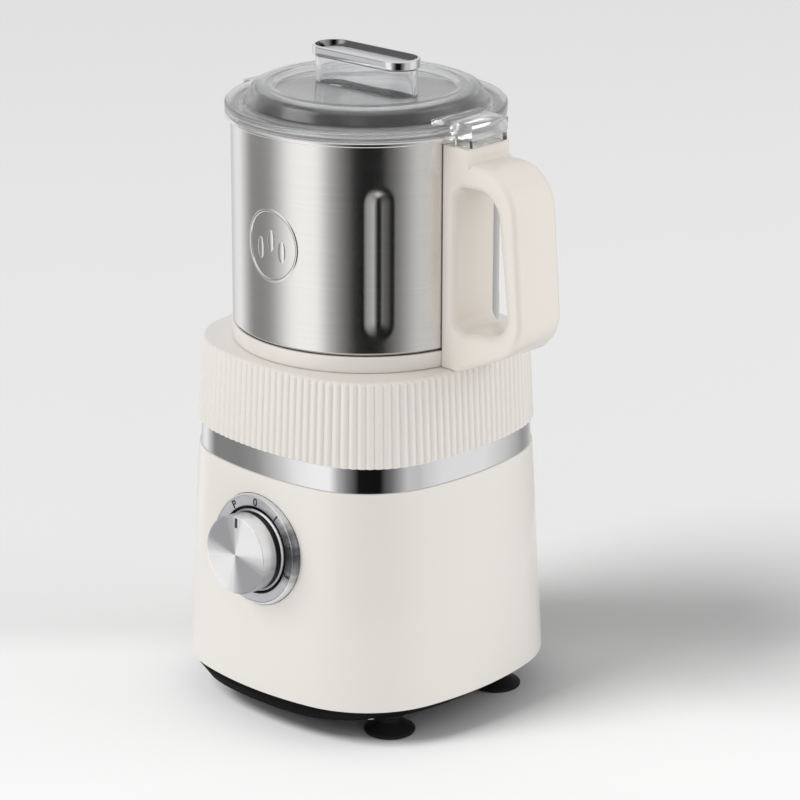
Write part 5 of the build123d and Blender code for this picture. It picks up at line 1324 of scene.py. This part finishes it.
@dataclass
class Cup:
    """Steel cup with pressed ribs, its cream ring and handle."""

    finishes: Finishes
    radius: float = 60.24
    deck: float = 169.5
    ring: float = 177.0
    rim: float = 273.6
    floor: float = 171.3
    wall: float = 0.8
    neck: float = 1.5
    bead: float = 2.3
    bore: float = 11.15
    columns: int = 400
    rows: int = 60
    row: float = 1.5
    rib_angle: float = 48.6
    rib_half_width: float = 6.8
    rib_half_length: float = 34.3
    rib_depth: float = 2.15
    rib_floor: float = 0.87
    rib_middle: float = 219.2
    badge_level: float = 223.0
    badge_oval: Point = (14.4, 0.7)
    badge_squash: Corner = (1.0, 0.75, 1.1)
    grain_size: Corner = (2.1, 0.55, 5.0)
    grains: tuple[Point, ...] = ((-6.3, -2.0), (0.0, 2.2), (6.3, -2.0))
    ring_bore: float = 30.0
    spigot: Corner = (46.4, 49.6, 163.5)
    handle_half: float = 14.0
    hole_bevel: tuple[float, int] = (3.6, 6)
    strap_bevel: tuple[float, int] = (2.6, 5)
    root_bevel: tuple[float, int] = (0.7, 3)
    handle_low: float = 169.8
    handle_top: float = 263.0
    root_top: float = 270.0

    def press(self, place: Vector) -> Vector:
        """Press a place of the cup wall inwards where a rib runs.

        Args:
            place: point in millimetres.

        Returns:
            The pressed place.
        """
        reach = place.xy.length
        if reach < self.radius - 2 or not self.ring + 3 < place.z < self.rim - 6:
            return place
        facing = math.degrees(math.atan2(abs(place.x), abs(place.y)))
        across = math.radians(facing - self.rib_angle) * self.radius
        beyond = max(0.0, abs(place.z - self.rib_middle) - (self.rib_half_length - self.rib_half_width))
        share = 1 - math.hypot(across, beyond) / self.rib_half_width
        if share <= 0:
            return place
        share = min(share, self.rib_floor)
        ease = share - 0.06 if share > 0.12 else share * share / 0.24
        inner = 1 - self.rib_depth * ease / reach
        return Vector((place.x * inner, place.y * inner, place.z))

    def shell(self) -> None:
        """Thin wall with a rolled rim, a neck at the bottom and four ribs."""
        start = self.ring + 3
        rows = [start + self.row * row for row in range(self.rows)]
        out, skin, neck = self.radius, self.radius - self.wall, self.radius - self.neck
        bead = out + self.bead
        profile = fillets([
            (self.bore, self.floor, 0), (neck, self.floor, 3.4), (neck, self.ring + 0.1, 0.2),
            (out, self.ring + 1.5, 0.6), (out, start, 0),
        ], closed=False)
        profile += [(out, level) for level in rows[1:]]
        profile += fillets([
            (out, self.rim - 2.3, 0), (out, self.rim - 2.2, 0), (bead, self.rim - 2.2, 0.9),
            (bead, self.rim, 1.0), (skin, self.rim, 0.5), (skin, self.rim - 3, 0),
        ], closed=False, turn=25)[1:]
        profile += [(skin, level) for level in reversed(rows)]
        inside = neck - self.wall
        bottom = self.floor + self.wall
        profile += fillets([
            (skin, self.ring + 2.5, 0), (inside, self.ring + 0.5, 0),
            (inside, bottom, 2.6), (self.bore, bottom, 0),
        ], closed=False)
        bench = Bench("shell").line([(across, 0, level) for across, level in profile], True)
        shell = bench.all().spin(360, self.columns).weld().shape(self.press).done()
        # The inside and floor of the cup take painted shade.
        mark_shaded_lining(shell, self.faces_in)
        self.finishes.dress(shell, Body.CUP, Slot.CUP, ["cup_shell"], 22)

    def faces_in(self, centre: Vector, normal: Vector) -> bool:
        """Whether a face of the shell looks inwards or lies in its floor."""
        return normal.xy.dot(centre.xy.normalized()) < INWARDS or centre.z < self.floor + 1.7

    def bent(self, place: Vector) -> Vector:
        """Lay a flat badge, drawn across X and up Z, on the cup wall.

        Args:
            place: point in millimetres.

        Returns:
            The place on the wall.
        """
        angle = place.x / self.radius
        reach = self.radius - place.y
        return Vector((reach * math.sin(angle), -reach * math.cos(angle), place.z))

    def badge(self) -> None:
        """Raised oval with three grains, pressed into the front of the cup."""
        bpy.ops.object.select_all(action="DESELECT")
        major, minor = self.badge_oval
        bpy.ops.mesh.primitive_torus_add(
            major_segments=96, minor_segments=12, major_radius=major * MM, minor_radius=minor * MM,
            rotation=(math.pi / 2, 0, 0))
        oval = bpy.context.object
        bpy.ops.object.transform_apply(rotation=True)
        oval.data.transform(Matrix.Diagonal((*self.badge_squash, 1.0)))
        pieces = [oval]
        for across, up in self.grains:
            bpy.ops.object.select_all(action="DESELECT")
            bpy.ops.mesh.primitive_uv_sphere_add(segments=24, ring_count=16, radius=MM)
            grain = bpy.context.object
            grain.data.transform(Matrix.Diagonal((*self.grain_size, 1.0)))
            grain.data.transform(Matrix.Translation(Vector((across, 0, up)) * MM))
            pieces.append(grain)
        badge = joined("badge", pieces)
        bpy.ops.object.mode_set(mode="EDIT")
        for vertex in bmesh.from_edit_mesh(badge.data).verts:
            vertex.co = self.bent(vertex.co / MM + Vector((0, 0, self.badge_level))) * MM
        bmesh.update_edit_mesh(badge.data)
        bpy.ops.object.mode_set(mode="OBJECT")
        self.finishes.dress(badge, Body.CUP, Slot.CUP)

    def base_ring(self) -> None:
        """Cream ring under the cup, with a spigot that stands in the well."""
        out = self.radius + 0.15
        seat = out - 1.4
        inner, outer, low = self.spigot
        profile = fillets([
            (self.ring_bore, self.deck, 0), (inner, self.deck, 0), (inner, low, 0.4), (outer, low, 0.6),
            (outer, self.deck, 0), (out, self.deck, 0.9), (out, self.ring, 0.5), (seat, self.ring, 0.2),
            (seat, self.floor, 0), (self.ring_bore, self.floor, 0),
        ])
        ring = turned("base_ring", profile, 160)
        self.finishes.dress(ring, Body.CUP, Slot.CREAM, ["cup_base"])

    def handle(self) -> None:
        """D handle with a broad root that hugs the cup."""
        out, half = self.radius, self.handle_half
        outer = fillets([
            (out - 1, self.handle_low, 0), (out + 9.8, self.handle_low, 6), (out + 44.8, 185.3, 20),
            (out + 38.3, self.handle_top, 20), (out + 12.0, self.handle_top, 1.8),
            (out + 12.0, self.root_top, 0), (out - 1, self.root_top, 0),
        ], turn=7)
        inner = fillets([
            (out + 5.5, 186.6, 5), (out + 36.2, 190.2, 11), (out + 28.6, 252.4, 12), (out + 5.5, 252.4, 5),
        ], turn=7)
        hole = {(round(x, 2), round(z, 2)) for x, z in inner}

        def rims_hole(place: Vector) -> bool:
            """Whether a place lies on a rim of the hole."""
            return (round(place.x, 2), round(place.z, 2)) in hole and abs(place.y) > half - 1

        def rims_strap(place: Vector) -> bool:
            """Whether a place lies on an outer rim of the strap.

            Args:
                place: point in millimetres.

            Returns:
                True on the rim.
            """
            in_hole = out + 6 < place.x < out + 36 and 186 < place.z < 252
            on_strap = place.x > out + 9 and place.z < self.handle_top + 0.1
            return abs(place.y) > half - 0.01 and on_strap and not in_hole

        bench = Bench("handle").line([(x, -half, z) for x, z in outer], True)
        bench.restart().line([(x, -half, z) for x, z in inner], True).all()
        bpy.ops.mesh.fill()
        bench.all().push((0, 2 * half, 0)).weld()
        bpy.ops.mesh.dissolve_limited(angle_limit=math.radians(0.5))
        bench.bevel(rims_hole, *self.hole_bevel).bevel(rims_strap, *self.strap_bevel)
        bench.bevel(lambda place: place.z > self.root_top - 0.1 and place.x > out + 3, *self.root_bevel)
        body = bench.done()
        hug = turned("hug", [(0, 160), (out + 0.3, 160), (out + 0.3, 280), (0, 280)], 200)
        merged(body, hug, "DIFFERENCE")
        self.finishes.dress(body, Body.CUP, Slot.CREAM, ["handle"], 30, self.finishes.handle)

    def build(self) -> None:
        """Make the cup's pieces."""
        self.shell()
        self.badge()
        self.base_ring()
        self.handle()


@dataclass
class Lid:
    """Clear lid with two tabs, a hollow grip and a bright ring on it."""

    finishes: Finishes
    flange: float = 62.84
    seat: float = 273.9
    lip: float = 278.4
    crown: float = 286.5
    recess: float = 283.0
    top: float = 300.0
    grip_half: float = 19.5
    grip_radius: float = 8.5
    grip_wall: float = 2.0
    grip_cap: Point = (295.0, 297.0)
    plug: Corner = (56.04, 58.04, 58.64)
    plug_low: float = 263.9
    under: float = 280.8

    def shell(self) -> None:
        """Flange, dome, recess and plug in one wall, with the tabs joined on."""
        inner, outer, lip = self.plug
        profile = fillets([
            (inner, self.plug_low, 0.4), (lip, self.plug_low, 0.4), (lip, 265.1, 0.2), (outer, 265.2, 0),
            (outer, self.seat, 0.4), (self.flange, self.seat, 0.7), (self.flange, self.lip, 1.1),
            (54.04, self.lip, 1.2), (51.4, 284.2, 3.0), (45.4, self.crown, 5.0),
            (41.4, self.crown - 0.9, 0.8), (40.0, self.recess, 0.6), (0, self.recess, 0), (0, self.under, 0),
            (41.0, self.under, 1.0), (44.5, 284.2, 1.5), (49.0, 282.8, 2.5), (51.7, 276.3, 1.0),
            (inner, 274.6, 0.6),
        ], turn=15)
        shell = turned("lid", profile, 160)
        merged(shell, self.tab(), "UNION")
        merged(shell, self.back_tab(), "UNION")
        wall = self.grip_wall
        mouth = self.looped("mouth", [(8.4, 279.0), (wall, 279.0), (wall, 285.0), (8.4, 285.0)], False)
        merged(shell, mouth, "DIFFERENCE")
        self.finishes.dress(shell, Body.LID, Slot.CLEAR, ["lid_shell"], 30)

    def tab(self) -> bpy.types.Object:
        """Tab over the handle: a stepped plate with a leg at its end.

        Returns:
            The tab.
        """
        plan = [(53.2, -16), (62.5, -12), (73.6, -12), (73.6, 12), (62.5, 12), (53.2, 16)]
        plate = softened(slab("tab", plan, 274.4, 280.8), 0.8, 2)
        foot = slab("leg", oblong((63.4, 73.3), (-11.2, 11.2)), 270.3, 275.3)
        hollow = slab("hollow", oblong((60, 71.0), (-9.6, 9.6)), 268.0, 273.0)
        merged(foot, hollow, "DIFFERENCE")
        return merged(plate, foot, "UNION")

    def back_tab(self) -> bpy.types.Object:
        """Short low tab on the side away from the handle."""
        return softened(slab("back_tab", oblong((-65.8, -57.0), (-12, 12)), 274.2, 278.2), 0.6, 2)

    def looped(self, name: str, profile: Sequence[Point], closed: bool) -> bpy.types.Object:
        """Carry a profile of inset and level round the grip's long outline.

        Args:
            name: name of the object.
            profile: inset and level of each point.
            closed: whether the profile is a loop.

        Returns:
            The object.
        """
        start = [(-self.grip_half, self.grip_radius - inset, level) for inset, level in profile]
        bench = Bench(name).line(start, closed).all()
        bench.spin(180, 28, (-self.grip_half, 0)).push((2 * self.grip_half, 0, 0))
        bench.spin(180, 28, (self.grip_half, 0)).push((-2 * self.grip_half, 0, 0))
        return bench.weld().done()

    def grip(self) -> None:
        """Clear hollow grip, closed on top."""
        low, high = self.grip_cap
        profile = fillets([
            (7.6, high, 0), (0, high, 0.6), (0, self.recess, 0.2), (self.grip_wall, self.recess, 0.2),
            (self.grip_wall, low, 0.8), (7.6, low, 0),
        ], closed=False)
        body = self.looped("grip", profile, False)
        self.finishes.dress(body, Body.LID, Slot.CLEAR, ["lid_grip"])

    def faces_in(self, centre: Vector, normal: Vector) -> bool:
        """Whether a face of the grip's loop looks towards the middle of the loop."""
        spine = Vector((max(-self.grip_half, min(self.grip_half, centre.x)), 0))
        return normal.xy.dot((centre.xy - spine).normalized()) < INWARDS

    def trim(self) -> None:
        """Bright ring round the top of the grip."""
        profile = fillets([
            (-0.15, 295.8, 0.2), (-1.4, 295.8, 0.4), (-1.4, self.top, 0.8), (0.0, self.top, 0.3),
            (0.5, 297.05, 0), (-0.15, 297.05, 0),
        ])
        ring = self.looped("trim", profile, True)
        # The inner wall of the ring takes a painted dark reflection.
        mark_shaded_lining(ring, self.faces_in)
        self.finishes.dress(ring, Body.LID, Slot.CHROME, ["grip_trim"])

    def build(self) -> None:
        """Make the lid's pieces."""
        self.shell()
        self.grip()
        self.trim()


@dataclass
class Carried:
    """CAD nodes that keep their solids and get a finish."""

    finishes: Finishes

    def build(self) -> None:
        """Give each shown node the finish of its slot."""
        slots = {entry["node"]: entry["material_slot"] for entry in frame["record"]["subparts"]}
        for name, node in frame["nodes"].items():
            if node.hide_render:
                continue
            node.data.materials.clear()
            node.data.materials.append(self.finishes.of[Slot(slots[name])])
            LOG.info("%s keeps its solid", name)


@dataclass
class Studio:
    """Floor, soft light and the camera of the photograph; cards and lamps are placed in metres."""

    turn: float = 43.6155
    distance: float = 1450.0
    height: float = 631.58
    aim: float = 145.0
    focal_pixels: float = 3357.13
    centre: tuple[float, float] = (366.07, 383.28)
    image: float = 800.0
    sensor: float = 36.0
    card_radius: float = 0.28
    card_height: float = 0.4
    card_tones: tuple[tuple[float, float], ...] = (
        (-180, 0.5), (-136, 0.84), (-120, 0.84), (-108, 0.58), (-92, 0.86), (-81, 0.95), (-61, 0.26),
        (-46, 0.25), (-36, 0.32), (-27, 0.6), (-18, 0.92), (-11, 1.02), (6, 1.02), (15, 0.48),
        (24, 0.22), (31, 0.09), (35, 0.008), (56, 0.006), (60, 0.09), (67, 0.18), (75, 0.38), (83, 0.62),
        (97, 0.6), (110, 0.84), (130, 0.86), (143, 0.65), (152, 0.42), (160, 0.34), (180, 0.45),
    )
    strip_level: Point = (0.026, 0.064)
    strip_span: Point = (0.3, 0.43)
    strip_tone: Colour = (0.62, 0.62, 0.63)
    floor_size: float = 12.0
    floor_drop: float = 0.0003
    floor_front: Colour = (0.5, 0.5, 0.5)
    floor_back: Colour = (0.435, 0.435, 0.435)
    floor_fade: Point = (0.02, 0.07)
    sky_level: float = 0.76
    lamp_aim: Corner = (0.0, 0.0, 0.15)
    soft_lamps: tuple[tuple[Corner, float, float], ...] = (
        ((-0.77, -1.26, 1.0), 0.9, 8.5), ((1.2, 0.9, 1.0), 1.2, 6.5),
    )
    sun_at: Corner = (-1.05, -2.8, 3.7)
    sun_angle: float = 24.0
    sun_energy: float = 3.5

    def camera(self) -> None:
        """Set the camera that was fitted to the photograph."""
        angle = math.radians(self.turn)
        eye = Vector((self.distance * math.sin(angle), -self.distance * math.cos(angle), self.height)) * MM
        bpy.ops.object.camera_add(location=eye)
        camera = bpy.context.object
        camera.rotation_euler = (Vector((0, 0, self.aim * MM)) - eye).to_track_quat("-Z", "Y").to_euler()
        camera.data.sensor_width = self.sensor
        camera.data.lens = self.focal_pixels * self.sensor / self.image
        camera.data.shift_x = (self.image / 2 - self.centre[0]) / self.image
        camera.data.shift_y = (self.centre[1] - self.image / 2) / self.image
        camera.data.clip_start = 0.05
        bpy.context.scene.camera = camera

    def floor(self) -> bpy.types.Object:
        """Pale floor that greys softly behind the object.

        Returns:
            The floor.
        """
        bpy.ops.object.select_all(action="DESELECT")
        bpy.ops.mesh.primitive_plane_add(size=self.floor_size, location=(0, 0, -self.floor_drop))
        plane = bpy.context.object
        plane.name = "floor"
        look = Shade("floor")
        ahead = look.mapped((1, 1, 1), (0, 0, 0), (0, 0, -math.radians(self.turn)))
        depth = look.axis(ahead, "Y")
        look.set(
            Base_Color=look.blend(depth.between(*self.floor_fade), self.floor_front, self.floor_back),
            Roughness=0.9, Specular_IOR_Level=0.0,
        )
        plane.data.materials.append(look.material)
        return plane

    def cards(self) -> None:
        """Ring of light and dark cards round the object that only its bright metal mirrors."""
        bpy.ops.object.select_all(action="DESELECT")
        bpy.ops.mesh.primitive_cylinder_add(
            vertices=128, radius=self.card_radius, depth=self.card_height, end_fill_type="NOTHING",
            location=(0, 0, self.card_height / 2))
        ring = bpy.context.object
        ring.name = "cards"
        look = Shade("cards")
        east = look.axis(look.place, "X")
        north = look.axis(look.place, "Y")
        share = east.math("ARCTAN2", north * -1.0) / (2 * math.pi) + 0.5
        stops = [(angle / 360 + 0.5, level) for angle, level in self.card_tones]
        tone = look.ramp(share, stops)
        level = look.axis(look.place, "Z")
        low, high = self.strip_level
        strip = level.between(low, low + 0.004) * (1.0 - level.between(high, high + 0.004))
        start, stop = self.strip_span
        strip = strip * share.between(start, start + 0.01) * (1.0 - share.between(stop, stop + 0.01))
        look.set(
            Base_Color=(0, 0, 0, 1), Specular_IOR_Level=0.0, Emission_Strength=1.0,
            Emission_Color=look.blend(strip, tone.socket, self.strip_tone),
        )
        ring.data.materials.append(look.material)
        ring.visible_camera = False
        ring.visible_diffuse = False
        ring.visible_shadow = False
        ring.visible_transmission = False

    def sky(self) -> None:
        """Even soft light all round."""
        world = bpy.data.worlds.new("studio")
        world.use_nodes = True
        bpy.context.scene.world = world
        back = world.node_tree.nodes["Background"]
        back.inputs["Color"].default_value = (1, 1, 1, 1)
        back.inputs["Strength"].default_value = self.sky_level

    def lamp(self, kind: str, place: Corner, aim: Corner) -> bpy.types.Object:
        """Add a lamp that looks at a point.

        Args:
            kind: AREA or SUN.
            place: where it stands, in metres.
            aim: where it looks, in metres.

        Returns:
            The lamp.
        """
        bpy.ops.object.light_add(type=kind, location=place)
        lamp = bpy.context.object
        lamp.rotation_euler = (Vector(aim) - lamp.location).to_track_quat("-Z", "Y").to_euler()
        return lamp

    def lamps(self, ground: bpy.types.Object) -> None:
        """Soft lamps from the left and the far right, and a sun that only the floor takes.

        Args:
            ground: the floor.
        """
        for place, size, energy in self.soft_lamps:
            lamp = self.lamp("AREA", place, self.lamp_aim)
            lamp.data.size = size
            lamp.data.energy = energy
            lamp.visible_glossy = False
        sun = self.lamp("SUN", self.sun_at, (0.0, 0.0, 0.0))
        sun.data.energy = self.sun_energy
        sun.data.angle = math.radians(self.sun_angle)
        lit = bpy.data.collections.new("floor_only")
        lit.objects.link(ground)
        sun.light_linking.receiver_collection = lit

    def build(self) -> None:
        """Set the stage."""
        self.camera()
        ground = self.floor()
        self.cards()
        self.sky()
        self.lamps(ground)


def main() -> None:
    """Build the dressed grinder and its stage."""
    logging.basicConfig(level=logging.INFO, format="%(message)s")
    bpy.context.scene.view_settings.view_transform = "Standard"
    outline = BaseOutline()
    axis = KnobAxis(outline)
    finishes = Finishes(axis)
    MotorBase(outline, axis, finishes).build()
    Dial(axis, finishes).build()
    Cup(finishes).build()
    Lid(finishes).build()
    Carried(finishes).build()
    Studio().build()


if __name__ == "__main__":
    main()
